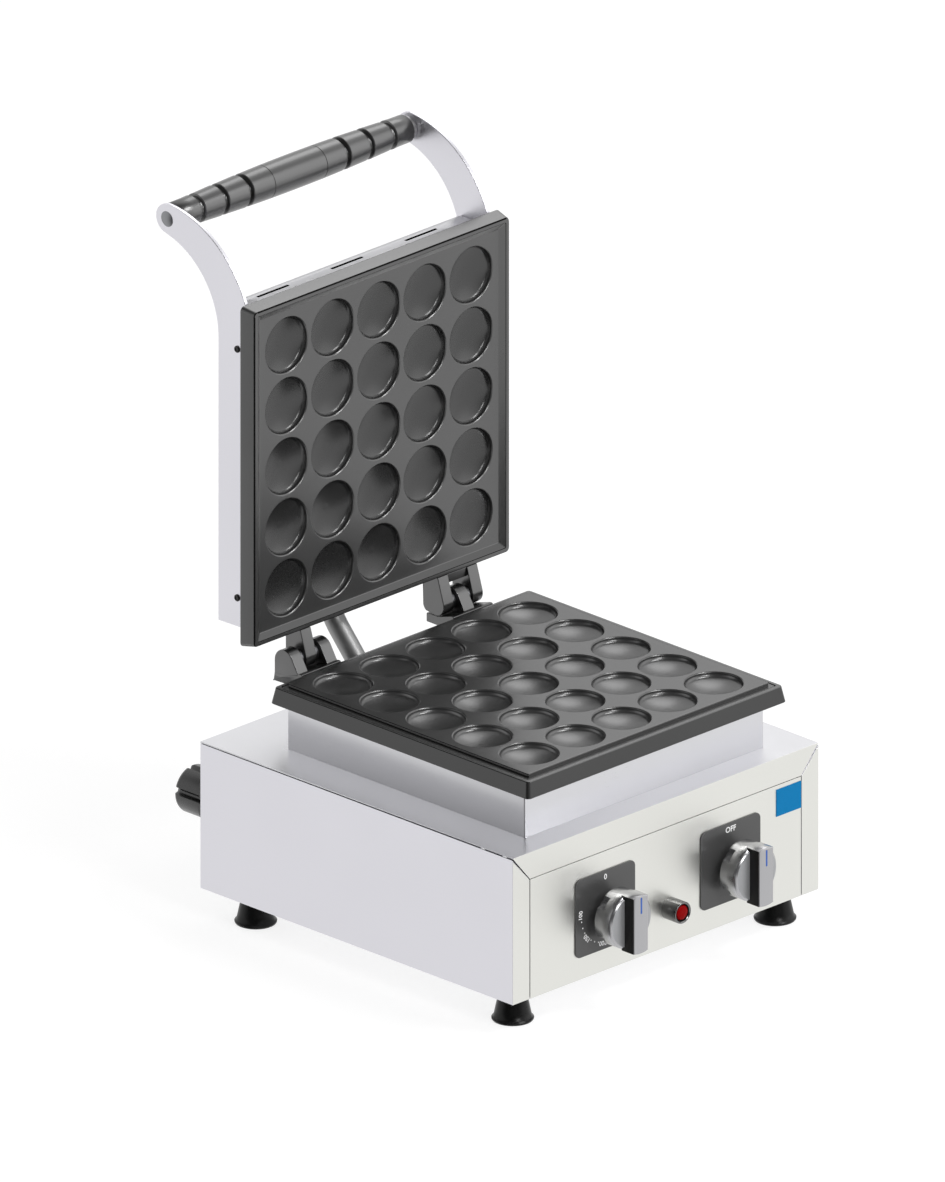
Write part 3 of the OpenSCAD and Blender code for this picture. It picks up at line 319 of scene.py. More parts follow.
def prism(bm, outline, low, high, place):
    """Extrudes a flat outline of (a, b) pairs from low to high; place maps (a, b, c) to a point"""
    ends = [[bm.verts.new(place(a, b, c)) for a, b in outline] for c in (low, high)]
    bm.faces.new(ends[0])
    bm.faces.new(ends[1])
    for i in range(len(outline)):
        j = (i + 1) % len(outline)
        bm.faces.new((ends[0][i], ends[0][j], ends[1][j], ends[1][i]))


def block(bm, low, high, place):
    """Box between two corners; place maps (a, b, c) to a point"""
    outline = [(low[0], low[1]), (high[0], low[1]), (high[0], high[1]), (low[0], high[1])]
    prism(bm, outline, low[2], high[2], place)


def rings(bm, loops, caps=(True, True)):
    """Skins a list of closed loops of points, all with the same number of points"""
    made = [[bm.verts.new(p) for p in loop] for loop in loops]
    for low, high in zip(made, made[1:]):
        for i in range(len(low)):
            j = (i + 1) % len(low)
            bm.faces.new((low[i], low[j], high[j], high[i]))
    if caps[0]:
        bm.faces.new(made[0])
    if caps[1]:
        bm.faces.new(made[-1])
    return made


def loop_edges(bm, loop):
    """Edges between the neighbours of a closed loop of vertices"""
    return [bm.edges.get((loop[i - 1], loop[i])) for i in range(len(loop))]


def lathe(bm, profile, place, steps=64, caps=(True, True)):
    """Turns a profile of (radius, height) pairs; place maps (x, y, height) to a point"""
    turns = [2 * math.pi * i / steps for i in range(steps)]
    loops = [[place(r * math.cos(t), r * math.sin(t), h) for t in turns] for r, h in profile]
    return rings(bm, loops, caps=caps)


def carved(bm, profile, place, steps, start, cut):
    """Lathe whose radius loses cut(angle), times the third value of each profile row"""
    loops = []
    for radius, height, share in profile:
        ring = []
        for i in range(steps):
            angle = 360 * i / steps + start
            t = math.radians(angle)
            r = radius - share * cut(angle)
            ring.append(place(r * math.cos(t), r * math.sin(t), height))
        loops.append(ring)
    rings(bm, loops)


def arc(centre, radius, start, end, steps):
    """Points of an arc; angles in degrees"""
    points = []
    for i in range(steps + 1):
        t = math.radians(start + (end - start) * i / steps)
        points.append((centre[0] + radius * math.cos(t), centre[1] + radius * math.sin(t)))
    return points


def rounded(half_a, half_b, radius, steps=5):
    """Outline of a rectangle with rounded corners about its middle"""
    points = []
    for sa, sb, start in ((1, 1, 0), (-1, 1, 90), (-1, -1, 180), (1, -1, 270)):
        centre = (sa * (half_a - radius), sb * (half_b - radius))
        points += arc(centre, radius, start, start + 90, steps)
    return points


# Base box

SHEET_T = 1.2
BASE_W = 310
BASE_D = 315
BASE_H = 113.2
STRIP_W = 17.5
STRIP_H = 20.6
SEAM = 0.45
SHEET_BEVEL = 0.2
SIDE_RIDGE = 1.0
SIDE_CLEAR = 0.6


def base_top_panel():
    """Top sheet with its front return, whose ends are mitred"""
    bm = bmesh.new()
    top, low, drop = BASE_H, BASE_H - SHEET_T, BASE_H - STRIP_H
    right = BASE_W - SHEET_T
    folds = (STRIP_W, BASE_W - STRIP_W)
    outer = [bm.verts.new(at(x, y, top)) for x, y in (
        (0, 0), (BASE_W, 0), (BASE_W, BASE_D), (0, BASE_D))]
    fold = [bm.verts.new(at(x, 0, drop)) for x in folds]
    inner = [bm.verts.new(at(x, y, low)) for x, y in (
        (SHEET_T, SHEET_T), (right, SHEET_T), (BASE_W, BASE_D), (0, BASE_D))]
    inner_fold = [bm.verts.new(at(x, SHEET_T, drop)) for x in folds]
    for face in (
        outer,
        (outer[0], outer[1], fold[1], fold[0]),
        (fold[0], fold[1], inner_fold[1], inner_fold[0]),
        (inner_fold[0], inner_fold[1], inner[1], inner[0]),
        inner,
        (outer[0], fold[0], inner_fold[0], inner[0]),
        (outer[1], fold[1], inner_fold[1], inner[1]),
        (outer[0], inner[0], inner[3], outer[3]),
        (outer[1], inner[1], inner[2], outer[2]),
        (outer[2], outer[3], inner[3], inner[2]),
    ):
        bm.faces.new(face)
    obj = piece("base_top_skin", bm, SHEET, "base", ["base_top_panel"],
                bevel=SHEET_BEVEL)
    # The front return gets the lighter, warmer copy of the same sheet: painted light
    also(obj, FRONT_LIT_STEEL, faces_front)


def base_side(name, node, left):
    """Side panel with its mitred strip at the front"""
    bm = bmesh.new()

    def place(x, y, z):
        return at(x if left else BASE_W - x, y, z)
    top, drop = BASE_H - SHEET_T - SEAM, BASE_H - STRIP_H - SEAM
    edge = STRIP_W - SEAM
    strip = [(0, 0), (0, top - SIDE_CLEAR), (edge, drop), (edge, 0)]
    outer = [bm.verts.new(place(x, 0, z)) for x, z in strip]
    back = [bm.verts.new(place(x, SHEET_T, z)) for x, z in strip[2:]]
    inner = [bm.verts.new(place(SHEET_T, SHEET_T, z)) for z in (0, top)]
    far = [bm.verts.new(place(x, BASE_D, z)) for x, z in (
        (0, 0), (0, top), (SHEET_T, top), (SHEET_T, 0))]
    ridge = bm.verts.new(place(0, SIDE_RIDGE, top))
    for face in (
        outer,
        (outer[0], outer[1], ridge, far[1], far[0]),
        (far[0], far[1], far[2], far[3]),
        (inner[0], inner[1], far[2], far[3]),
        (ridge, far[1], far[2], inner[1]),
        (inner[0], inner[1], back[0], back[1]),
        (outer[1], outer[2], back[0], inner[1], ridge),
        (outer[2], outer[3], back[1], back[0]),
        (outer[3], outer[0], far[0], far[3], inner[0], back[1]),
    ):
        bm.faces.new(face)
    # Lighter, bluer copy of the sheet steel on the side, and the warmer copy on its front strip:
    # painted light
    obj = piece(name, bm, SIDE_LIT_STEEL, "base", [node], bevel=SHEET_BEVEL)
    also(obj, FRONT_LIT_STEEL, faces_front)


def control_panel():
    bm = bmesh.new()
    low, high = STRIP_W + SEAM / 2, BASE_W - STRIP_W - SEAM / 2
    block(bm, (low, 0, 0), (high, BASE_H - STRIP_H - SEAM, SHEET_T),
          lambda a, b, c: at(a, c, b))
    # Lighter, warmer copy of the sheet steel on the front: painted light
    piece("control_panel_skin", bm, FRONT_LIT_STEEL, "base", ["control_panel"],
          bevel=0.15)


def collar():
    lo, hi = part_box("collar")
    centre = (lo + hi) / 2
    half = (hi - lo) / 2 / MM
    loops = []
    for z, inset in ((0, 0.15), (0.4, 0), (2 * half.z - 0.1, 0)):
        loops.append([Vector((centre.x, centre.y, lo.z)) + Vector((a, b, z)) * MM
                      for a, b in rounded(half.x - inset, half.y - inset, 1.2)])
    bm = bmesh.new()
    rings(bm, loops)
    piece("collar_skin", bm, SHEET, "base", ["collar"], sharp=50)


FOOT_SOLE = [(0, 0), (13.6, 0), (14.8, 0.3), (15.3, 1.0), (15.4, 1.9), (14.7, 2.6)]
FOOT_CONE = [(13.9, 3.2), (12.875, 8.05), (11.85, 12.9), (10.825, 17.75), (9.8, 22.6)]
FOOT_TOP = [(9.4, 23), (0, 23)]


def feet():
    for side in ("front_left", "front_right", "back_left", "back_right"):
        lo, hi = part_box("foot_" + side)
        middle = Vector(((lo.x + hi.x) / 2, (lo.y + hi.y) / 2, lo.z))
        bm = bmesh.new()
        lathe(bm, FOOT_SOLE + FOOT_CONE + FOOT_TOP,
              lambda x, y, h: middle + Vector((x, y, h)) * MM)
        piece("rubber_foot_" + side, bm, RUBBER, "base", ["foot_" + side], sharp=50)


# Baking plates

PLATE_W = 262.7
PLATE_D = 260.5
PLATE_Y = 8 + PLATE_D / 2
SKIRT_Z = BASE_H + 36
SKIRT_H = 12.6
FLARE = 2.25
LEDGE_W = 7
FIELD_H = 2.4
PITCH = 46.8
WELL_R = 22
WELL_DEPTH = 7.5
WELL_LIP = 0.8
WELL_WALL = 1
WELL_CORNER = 3.6
WELL_STEPS = 48
SKIRT_BAND = 3
LINE_LEVEL = 0.005


def well_profile():
    """Radius and depth down a well: a chamfered mouth, a round corner and a shallow bowl"""
    wall = WELL_R - WELL_LIP
    corner_x = wall - WELL_CORNER
    deep = WELL_DEPTH - WELL_WALL
    bowl_r = (corner_x ** 2 + deep ** 2 - WELL_CORNER ** 2) / (2 * (deep - WELL_CORNER))
    meet = math.degrees(math.asin(corner_x / (bowl_r - WELL_CORNER)))
    lip = [(WELL_R + 0.15, 0), (WELL_R - 0.1, -0.08), (wall + 0.1, -0.6), (wall, -0.85)]
    corner = arc((corner_x, -WELL_WALL), WELL_CORNER, 0, meet - 90, 7)
    bowl = arc((0, bowl_r - WELL_DEPTH), bowl_r, meet - 90, -88, 12)
    return lip + corner + bowl[1:]


def baking_plate(name, node, body, steps, half, place, sink):
    """Cast plate: loops of (inset, height, corner radius) up to a flat field with 25 wells.
    The wells run towards lower heights where sink is 1, and higher ones where it is -1"""
    bm = bmesh.new()
    loops = [[place(a, b, h) for a, b in rounded(half[0] - inset, half[1] - inset, radius)]
             for inset, h, radius in steps]
    made = rings(bm, loops, caps=(True, False))
    edges = loop_edges(bm, made[-1])
    field = steps[-1][1]
    for i in range(-2, 3):
        for j in range(-2, 3):
            def in_well(x, y, z, cx=i * PITCH, cy=j * PITCH):
                return place(cx + x, cy + y, field + sink * z)
            well = lathe(bm, well_profile(), in_well, WELL_STEPS, caps=(False, True))
            edges += loop_edges(bm, well[0])
    bmesh.ops.triangle_fill(bm, use_beauty=True, edges=edges)
    obj = piece(name, bm, PLATE, body, [node], sharp=40)
    obj.modifiers.new("normals", "WEIGHTED_NORMAL").keep_sharp = True
    return obj


def lower_plate():
    half_a, half_b = PLATE_W / 2, PLATE_D / 2
    groove = FLARE + LEDGE_W / 2
    wall = FLARE + LEDGE_W
    tread = SKIRT_H - 0.3
    field = SKIRT_H + FIELD_H
    steps = [
        (0.5, 0, 3.0), (0, 0.5, 3.2), (FLARE - 0.1, SKIRT_H - 0.7, 2.7),
        (FLARE + 0.1, SKIRT_H - 0.25, 2.5), (FLARE + 0.5, SKIRT_H, 2.3),
        (groove - 0.5, SKIRT_H, 1.9), (groove - 0.4, SKIRT_H - 0.5, 1.8),
        (groove + 0.4, SKIRT_H - 0.5, 1.6), (groove + 0.5, tread, 1.6),
        (wall - 0.1, tread, 1.3), (wall, tread + 0.8, 1.3), (wall + 0.05, field - 0.6, 1.2),
        (wall + 0.2, field - 0.1, 1.2), (wall + 0.5, field, 1.0),
    ]

    def place(a, b, h):
        return at(MIDDLE + a, PLATE_Y + b, SKIRT_Z + h)
    obj = baking_plate("lower_baking_plate", "lower_plate", "base", steps, (half_a, half_b),
                       place, 1)
    middle = place(0, 0, 0)
    rim = place(0, 0, SKIRT_H - 0.8).z

    def on_skirt(face):
        beyond = max(abs(face.center.x - middle.x) - half_a * MM,
                     abs(face.center.y - middle.y) - half_b * MM)
        return face.center.z < rim and face.normal.z < 0.5 and beyond > -SKIRT_BAND * MM
    # The skirt band gets the darker copy: painted shade
    also(obj, PLATE_SHADED_SKIRT, on_skirt)
    # Near-black faces on the left-facing step risers and in the groove all round: painted shade
    # and dark reflections
    levels = [place(0, 0, h).z for h in (
        SKIRT_H - 0.475, SKIRT_H - 0.5, tread + 0.4, field - 0.35)]

    def is_line(face):
        near = [abs(face.center.z - z) < LINE_LEVEL * MM for z in levels]
        return any(near) and (face.normal.x < -0.3 or near[1])
    also(obj, PAINTED_SHADE, is_line)


LID_U = 150.35
RIM_V = -2.7
RIM_A = PLATE_W / 2 - FLARE
RIM_B = 257.9 / 2
RIM_W = 3.5
RIM_LEAN = 4.5
RIM_DEEP = 3.2
LID_T = 12.3


def upper_plate():
    foot = RIM_W + RIM_LEAN
    steps = [
        (-FLARE, LID_T, 3.4), (-FLARE, LID_T - 0.5, 3.4), (-0.2, 1.0, 3.0), (0, 0.5, 3.0),
        (0.25, 0.12, 2.8), (0.7, 0, 2.6), (RIM_W - 0.4, 0, 1.2), (RIM_W, 0.3, 1.0),
        (foot - 0.3, RIM_DEEP - 0.25, 0.8), (foot + 0.5, RIM_DEEP, 0.8),
    ]

    def place(a, b, v):
        return on_lid(a, LID_U + b, RIM_V + v)
    obj = baking_plate("lid_baking_plate", "upper_plate", "lid", steps, (RIM_A, RIM_B),
                       place, -1)
    top, bottom = place(0, RIM_B - foot, 0).z, place(0, foot - RIM_B, 0).z
    under, front = place(0, 0, RIM_DEEP + 1.6).y, place(0, 0, 0.8).y
    # Side faces and the down-facing faces along the top get the lighter copy: painted light
    also(obj, PLATE_LIT_EDGE, lambda face: abs(face.normal.x) > 0.9
         or face.center.z > top and face.normal.z < -0.3)
    # The up-facing faces of the lid plate's bottom skirt get the darker copy: painted shade
    also(obj, PLATE_SHADED_SKIRT, lambda face: face.center.z < bottom and face.normal.z > 0.3
         and face.normal.y < -0.5)
    # The bowls of the wells get the darker copy: painted shade
    also(obj, PLATE_SHADED_WELL, lambda face: face.center.y > under and face.normal.y < -0.6)
    # Near black on the sloped faces at the front of the plate, round the rim and the well mouths:
    # painted shade
    also(obj, PAINTED_SHADE, lambda face: face.center.y < front and face.normal.y > -0.97)


# Lid cover, side plates and handle

COVER_X = 121
BACK_V = RIM_V + LID_T
COVER_V = BACK_V + 29.7
COVER_U = (LID_U - 241.7 / 2, LID_U + 241.7 / 2)
ARM_T = 3
HANDLE_U = 324.3
HANDLE_V = 90.8
ARM_END_R = 11.3
ROD_R = 5.9
VENT_LEN = 32
VENT_W = 2.6
VENT_STEP = 75
VENT_V = COVER_V - 6.6
VENT_CORNER = 0.9
VENT_DEEP = 4
SIDE_SCREWS = [(52.2, 19.9), (244.2, 19.9)]
SCREW_HEAD = [(2.6, 0), (2.6, 0.7), (2.2, 1.1), (1.5, 1.2), (1.2, 0.6), (0.6, 0.5)]


def lid_cover():
    """Box of sheet steel, with three slots through its end at the handle side"""
    bm = bmesh.new()
    low, high = COVER_U
    mid_v, half_v = (BACK_V + COVER_V) / 2, (COVER_V - BACK_V) / 2
    loops = []
    for u, inset in ((low, 0.5), (low + 0.5, 0), (high - 0.6, 0), (high, 0.6)):
        loops.append([on_lid(a, u, mid_v + b)
                      for a, b in rounded(COVER_X - inset, half_v - inset, 1.2)])
    made = rings(bm, loops, caps=(True, False))
    edges = loop_edges(bm, made[-1])
    for i in (-1, 0, 1):
        outline = rounded(VENT_LEN / 2, VENT_W / 2, VENT_CORNER, 3)
        hole = rings(bm, [[on_lid(i * VENT_STEP + a, u, VENT_V + b) for a, b in outline]
                          for u in (high, high - VENT_DEEP)], caps=(False, True))
        edges += loop_edges(bm, hole[0])
    bmesh.ops.triangle_fill(bm, use_beauty=True, edges=edges)
    obj = piece("lid_cover_skin", bm, SHEET, "lid", ["lid_cover"], sharp=50)
    above, below = on_lid(0, high - 0.8, 0).z, on_lid(0, high - VENT_DEEP - 1, 0).z
    middle = on_lid(0, 0, VENT_V).y
    # Near black inside the slots: painted shade
    also(obj, PAINTED_SHADE, lambda face: below < face.center.z < above
         and abs(face.center.y - middle) < VENT_W * MM)


def arm_outline():
    """Outline of a side plate with its arm, in v and u"""
    outer, outer_r = (94.8, 246.7), 89.5
    inner, inner_r = (105.7, 247.7), 66.5
    start = math.degrees(math.acos((BACK_V - outer[0]) / outer_r))
    stop = math.degrees(math.acos((HANDLE_V - outer[0]) / outer_r))
    back = math.degrees(math.acos((HANDLE_V - inner[0]) / inner_r))
    outline = [(BACK_V, COVER_U[0] + 0.6), (BACK_V, COVER_U[1])]
    outline += arc(outer, outer_r, start, stop, 28)
    outline += arc((HANDLE_V, HANDLE_U), ARM_END_R, 86, -84, 24)
    outline += arc(inner, inner_r, back, 180, 28)
    return outline + [(COVER_V, COVER_U[0])]


def side_plates():
    for name, side in (("left", -1), ("right", 1)):
        low, high = sorted((side * COVER_X, side * (COVER_X + ARM_T)))
        bm = bmesh.new()
        prism(bm, arm_outline(), low, high, lambda v, u, x: on_lid(x, u, v))
        # Lighter, bluer copy of the sheet steel on the side plates: painted light
        piece("side_arm_" + name, bm, SIDE_LIT_STEEL, "lid",
              ["side_plate_" + name], bevel=0.5, sharp=30)


def side_screws():
    bm = bmesh.new()
    for side in (-1, 1):
        for u, v in SIDE_SCREWS:
            lathe(bm, SCREW_HEAD,
                  lambda a, b, h: on_lid(side * (COVER_X + ARM_T + h), u + a, v + b), 24)
    piece("side_screw_heads", bm, BLACK_SCREW, "lid", ["side_plate_screws"],
          sharp=50)


GRIP_HALF = 117.3
GRIP_MID = 12.8
GRIP_END = 10.2
GRIP_LINE = 26
GROOVES = (49.2, 73.5, 97)
GROOVE_R = 8.4
RING_R = 9


def grip_radius(x):
    """Radius of the barrel grip at a distance from its middle"""
    return GRIP_END + (GRIP_MID - GRIP_END) * math.cos(math.pi / 2 * x / GRIP_HALF)


def handle():
    """Barrel grip with grooves and a fine line, its end rings and its rod"""
    def place(a, b, h):
        return on_lid(h, HANDLE_U + b, HANDLE_V + a)
    half = [(x, grip_radius(x)) for x in (0, 9, 18, 36)]
    r = grip_radius(GRIP_LINE)
    half += [(GRIP_LINE, r), (GRIP_LINE + 0.15, r - 0.35), (GRIP_LINE + 0.55, r - 0.35),
             (GRIP_LINE + 0.7, r)]
    for g in GROOVES:
        r = grip_radius(g)
        half += [(g - 2.6, r), (g - 2.1, r - 0.5), (g - 1.9, GROOVE_R + 0.2),
                 (g - 1.5, GROOVE_R), (g + 1.5, GROOVE_R), (g + 1.9, GROOVE_R + 0.2),
                 (g + 2.1, r - 0.5), (g + 2.6, r), (g + 8, grip_radius(g + 8))]
    half += [(GRIP_HALF - 0.8, GRIP_END + 0.3), (GRIP_HALF - 0.2, GRIP_END - 0.2),
             (GRIP_HALF, GRIP_END - 1)]
    half.sort()
    bm = bmesh.new()
    lathe(bm, [(r, -x) for x, r in reversed(half)] + [(r, x) for x, r in half[1:]], place)
    piece("grip", bm, GRIP, "lid", ["handle_grip"], sharp=40)
    bm = bmesh.new()
    for side in (-1, 1):
        lathe(bm, [(GROOVE_R, GRIP_HALF), (RING_R, GRIP_HALF + 0.5), (RING_R, COVER_X - 0.5),
                   (GROOVE_R, COVER_X)], lambda a, b, h: place(a, b, side * h))
    piece("grip_rings", bm, BRIGHT, "lid", ["handle_rings"], sharp=50)
    bm = bmesh.new()
    end = COVER_X + ARM_T
    lathe(bm, [(ROD_R - 0.5, -end - 0.3), (ROD_R, -end), (ROD_R, end),
               (ROD_R - 0.5, end + 0.3)], place)
    piece("grip_rod", bm, ZINC, "lid", ["handle_rod"], sharp=50)


# Hinges

HINGE_X = 77
CAST_HALF = 20
LUG_IN = 9.7
TONGUE = 5.3
LUG_R = 9.5
LUG_LEAN = 31.5
WEB_TOP = -8.7
WEB_BACK = -4.6
LOW = -SKIRT_H - 3
KNUCKLE_R = 8.3
KNUCKLE_LEAN = 17
AXIS_BACK = 20.1
FLANGE_V = BACK_V + 3.3
FLANGE_U = 28.4
BRIDGE_U = 14
BRIDGE_V = -1.5
HEEL_R = 6
HEEL_U = -2
LUG_PAIR = [(-CAST_HALF, -LUG_IN), (LUG_IN, CAST_HALF)]
LUG_ONE = [(-TONGUE, TONGUE)]


def lower_hinge(name, side, lugs):
    """Lower casting: a web on the plate's skirt with round-topped lugs"""
    lean = math.radians(LUG_LEAN)
    tip = (-LUG_R * math.cos(lean), LUG_R * math.sin(lean))
    heel = tip[0] - (tip[1] - WEB_TOP) * math.tan(lean)
    lug = [(heel, LOW), (LUG_R, LOW)] + arc((0, 0), LUG_R, 0, 180 - LUG_LEAN, 16)
    lug.append((heel, WEB_TOP))
    slope = FLARE / SKIRT_H
    web = [(-AXIS_BACK, LOW), (LUG_R, LOW), (LUG_R, WEB_TOP), (-2.4, WEB_TOP),
           (-15.8, WEB_BACK), (-AXIS_BACK + slope * (WEB_BACK - LOW), WEB_BACK)]

    def place(y, z, x):
        return on_lid(side * HINGE_X + x, z, y)
    bm = bmesh.new()
    prism(bm, web, -CAST_HALF, CAST_HALF, place)
    for low, high in lugs:
        prism(bm, lug, low, high, place)
    piece("hinge_base_" + name, bm, CASTING, "base",
          ["lower_hinge_" + name], bevel=0.7, sharp=30)


def upper_hinge(name, side, lugs):
    """Lid casting: a flange on the lid plate with lugs that reach round the pin"""
    lean = math.radians(KNUCKLE_LEAN)
    tip = (-KNUCKLE_R * math.cos(lean), KNUCKLE_R * math.sin(lean))
    foot_u = LID_U - RIM_B
    seat_u = foot_u - FLARE
    tip_v = tip[0] + (foot_u - tip[1]) * math.tan(lean)
    slope = FLARE / LID_T
    lug = [tip, (tip_v, foot_u - slope * (tip_v - RIM_V)), (BACK_V, seat_u),
           (BACK_V, FLANGE_U), (FLANGE_V, FLANGE_U), (FLANGE_V, HEEL_U)]
    lug += arc((FLANGE_V - HEEL_R, HEEL_U), HEEL_R, 0, -60, 5)[1:]
    lug += arc((0, 0), KNUCKLE_R, -75, -180 - KNUCKLE_LEAN, 14)[:-1]
    web = [(BRIDGE_V, BRIDGE_U), (FLANGE_V, BRIDGE_U), (FLANGE_V, FLANGE_U),
           (BACK_V, FLANGE_U), (BACK_V, seat_u),
           (BRIDGE_V, foot_u - slope * (BRIDGE_V - RIM_V))]

    def place(v, u, x):
        return on_lid(side * HINGE_X + x, u, v)
    bm = bmesh.new()
    prism(bm, web, lugs[0][0] + 0.5, lugs[-1][1] - 0.5, place)
    block(bm, (BACK_V, seat_u, -CAST_HALF), (FLANGE_V, FLANGE_U, CAST_HALF), place)
    for low, high in lugs:
        prism(bm, lug, low, high, place)
    piece("hinge_lid_" + name, bm, CASTING, "lid", ["upper_hinge_" + name],
          bevel=0.6, sharp=30)


# Conduit

CONDUIT_X = 128
CONDUIT_Y = 271.6
CONDUIT_R = 7.85
CONDUIT_BEND = 45
CONDUIT_LEAN = 42
CONDUIT_RISE = 2.8
CONDUIT_STRAIGHT = 29.2
BEND_STEPS = 12
STRAIGHT_STEPS = 6
CONDUIT_SIDES = 32


def conduit():
    """Bent tube from the base into the lid"""
    lean = math.radians(CONDUIT_LEAN)
    stations = [(CONDUIT_Y, BASE_H, 0)]
    low = BASE_H + CONDUIT_RISE
    for i in range(BEND_STEPS + 1):
        t = lean * i / BEND_STEPS
        stations.append((CONDUIT_Y + CONDUIT_BEND * (1 - math.cos(t)),
                         low + CONDUIT_BEND * math.sin(t), t))
    y, z, _ = stations[-1]
    for i in range(1, STRAIGHT_STEPS):
        d = CONDUIT_STRAIGHT * i / STRAIGHT_STEPS
        stations.append((y + d * math.sin(lean), z + d * math.cos(lean), lean))
    y, z = y + CONDUIT_STRAIGHT * math.sin(lean), z + CONDUIT_STRAIGHT * math.cos(lean)
    for i in range(BEND_STEPS + 1):
        t = lean * (1 - i / BEND_STEPS)
        stations.append((y + CONDUIT_BEND * (math.cos(t) - math.cos(lean)),
                         z + CONDUIT_BEND * (math.sin(lean) - math.sin(t)), t))
    loops = []
    for y, z, t in stations:
        ring = []
        for k in range(CONDUIT_SIDES):
            a = 2 * math.pi * k / CONDUIT_SIDES
            across = CONDUIT_R * math.sin(a)
            ring.append(at(CONDUIT_X + CONDUIT_R * math.cos(a), y + across * math.cos(t),
                           z - across * math.sin(t)))
        loops.append(ring)
    bm = bmesh.new()
    rings(bm, loops)
    obj = piece("conduit_tube", bm, TUBE, None, ["conduit"], sharp=50)
    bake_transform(obj)


# Cable gland

GLAND = (25.6, 60.5)
CABLE_R = 4.6
FLUTES = 5
FLUTE_TURN = 27
FLUTE_HALF = 7.65
FLUTE_DEEP = 3.4
FLUTED_STEPS = 160
GLAND_BODY = [(20.6, 0, 0), (21, 0.4, 0), (21, 1.4, 0), (21, 1.6, 1), (21, 7.2, 1),
              (20.2, 8, 1), (12, 8, 0)]
GLAND_NUT = [(12, 8.3, 0), (17.6, 8.3, 1), (18, 8.7, 1), (18, 31.4, 1), (17.8, 32.4, 1),
             (17.2, 33.7, 1), (16.2, 34.6, 1), (14.9, 35, 0.9), (13.6, 35, 0.2), (12, 35, 0),
             (CABLE_R + 0.5, 35, 0), (CABLE_R, 34.5, 0), (CABLE_R, 25, 0)]


def gland():
    """Gland body and dome nut; the third value of a profile row is the share of a flute"""
    def place(x, z, y):
        return at(GLAND[0] + x, BASE_D + y, GLAND[1] + z)

    def flute(angle):
        pitch = 360 / FLUTES
        off = abs((angle - FLUTE_TURN + pitch / 2) % pitch - pitch / 2)
        return FLUTE_DEEP * max(0.0, 1 - (off / FLUTE_HALF) ** 4)
    for name, profile, node in (("gland_base", GLAND_BODY, "gland_body"),
                                ("gland_dome", GLAND_NUT, "gland_nut")):
        bm = bmesh.new()
        carved(bm, profile, place, FLUTED_STEPS, FLUTE_TURN, flute)
        piece(name, bm, BLACK, "base", [node], sharp=35)


# Controls

KNOB_Z = 46
THERMOSTAT_X = 93
SWITCH_X = 220
DIAL_HALF = 30.25
DIAL_RISE = 1.5
DIAL_CORNER = 5
PRINT_LEVEL = -1.03
TEXT_R = 25.2
TEXT_WEIGHT = 0.02
TEXT_STEPS = 3
DOT_RING_R = 24.4
DOT_R = 0.55
DOT_SIDES = 10
HEAT_LABELS = [("0", 0, 6), ("100", 85, 5), ("150", 132, 5), ("200", 174, 5), ("250", 220, 5),
               ("300", 265, 5)]
HEAT_DOTS = [97, 109, 120, 143, 153, 163, 186, 197, 208, 232, 243, 254]
SWITCH_LABELS = [("OFF", 0, 6), ("ON", -90, 6)]


def flat_text(text, size, x, y, z, turn):
    """Mesh of flat letters on the front, turned clockwise about its middle, in degrees"""
    curve = bpy.data.curves.new(text, "FONT")
    curve.body = text
    curve.size = size * MM
    curve.align_x = "CENTER"
    curve.align_y = "CENTER"
    curve.resolution_u = TEXT_STEPS
    curve.offset = size * TEXT_WEIGHT * MM
    holder = bpy.data.objects.new(text, curve)
    bpy.context.scene.collection.objects.link(holder)
    bpy.context.view_layer.update()
    shown = holder.evaluated_get(bpy.context.evaluated_depsgraph_get())
    mesh = bpy.data.meshes.new_from_object(shown)
    bpy.data.objects.remove(holder)
    matrix = Matrix.Translation(at(x, y, z)) @ Matrix.Rotation(math.radians(turn), 4, "Y")
    mesh.transform(matrix @ Matrix.Rotation(math.radians(90), 4, "X"))
    return mesh


def print_on_dial(name, x, labels, dots=()):
    """White print on a dial plate: labels are (text, angle, size), dots are angles"""
    def around(angle, radius):
        t = math.radians(angle)
        return x - radius * math.sin(t), KNOB_Z + DIAL_RISE + radius * math.cos(t)
    bm = bmesh.new()
    for text, angle, size in labels:
        cx, cz = around(angle, TEXT_R)
        mesh = flat_text(text, size, cx, PRINT_LEVEL, cz, -angle)
        bm.from_mesh(mesh)
        bpy.data.meshes.remove(mesh)
    for angle in dots:
        cx, cz = around(angle, DOT_RING_R)
        turns = [2 * math.pi * k / DOT_SIDES for k in range(DOT_SIDES)]
        bm.faces.new([bm.verts.new(at(cx + DOT_R * math.cos(a), PRINT_LEVEL,
                                      cz + DOT_R * math.sin(a))) for a in turns])
    piece(name, bm, PRINT, "base")


def dial_plate(name, x):
    bm = bmesh.new()
    outline = [(x + a, KNOB_Z + DIAL_RISE + b)
               for a, b in rounded(DIAL_HALF, DIAL_HALF, DIAL_CORNER, 8)]
    prism(bm, outline, -1, 0, lambda a, b, c: at(a, c, b))
    piece(name + "_dial", bm, DIAL, "base", [name + "_dial_plate"], bevel=0.25,
          sharp=40)


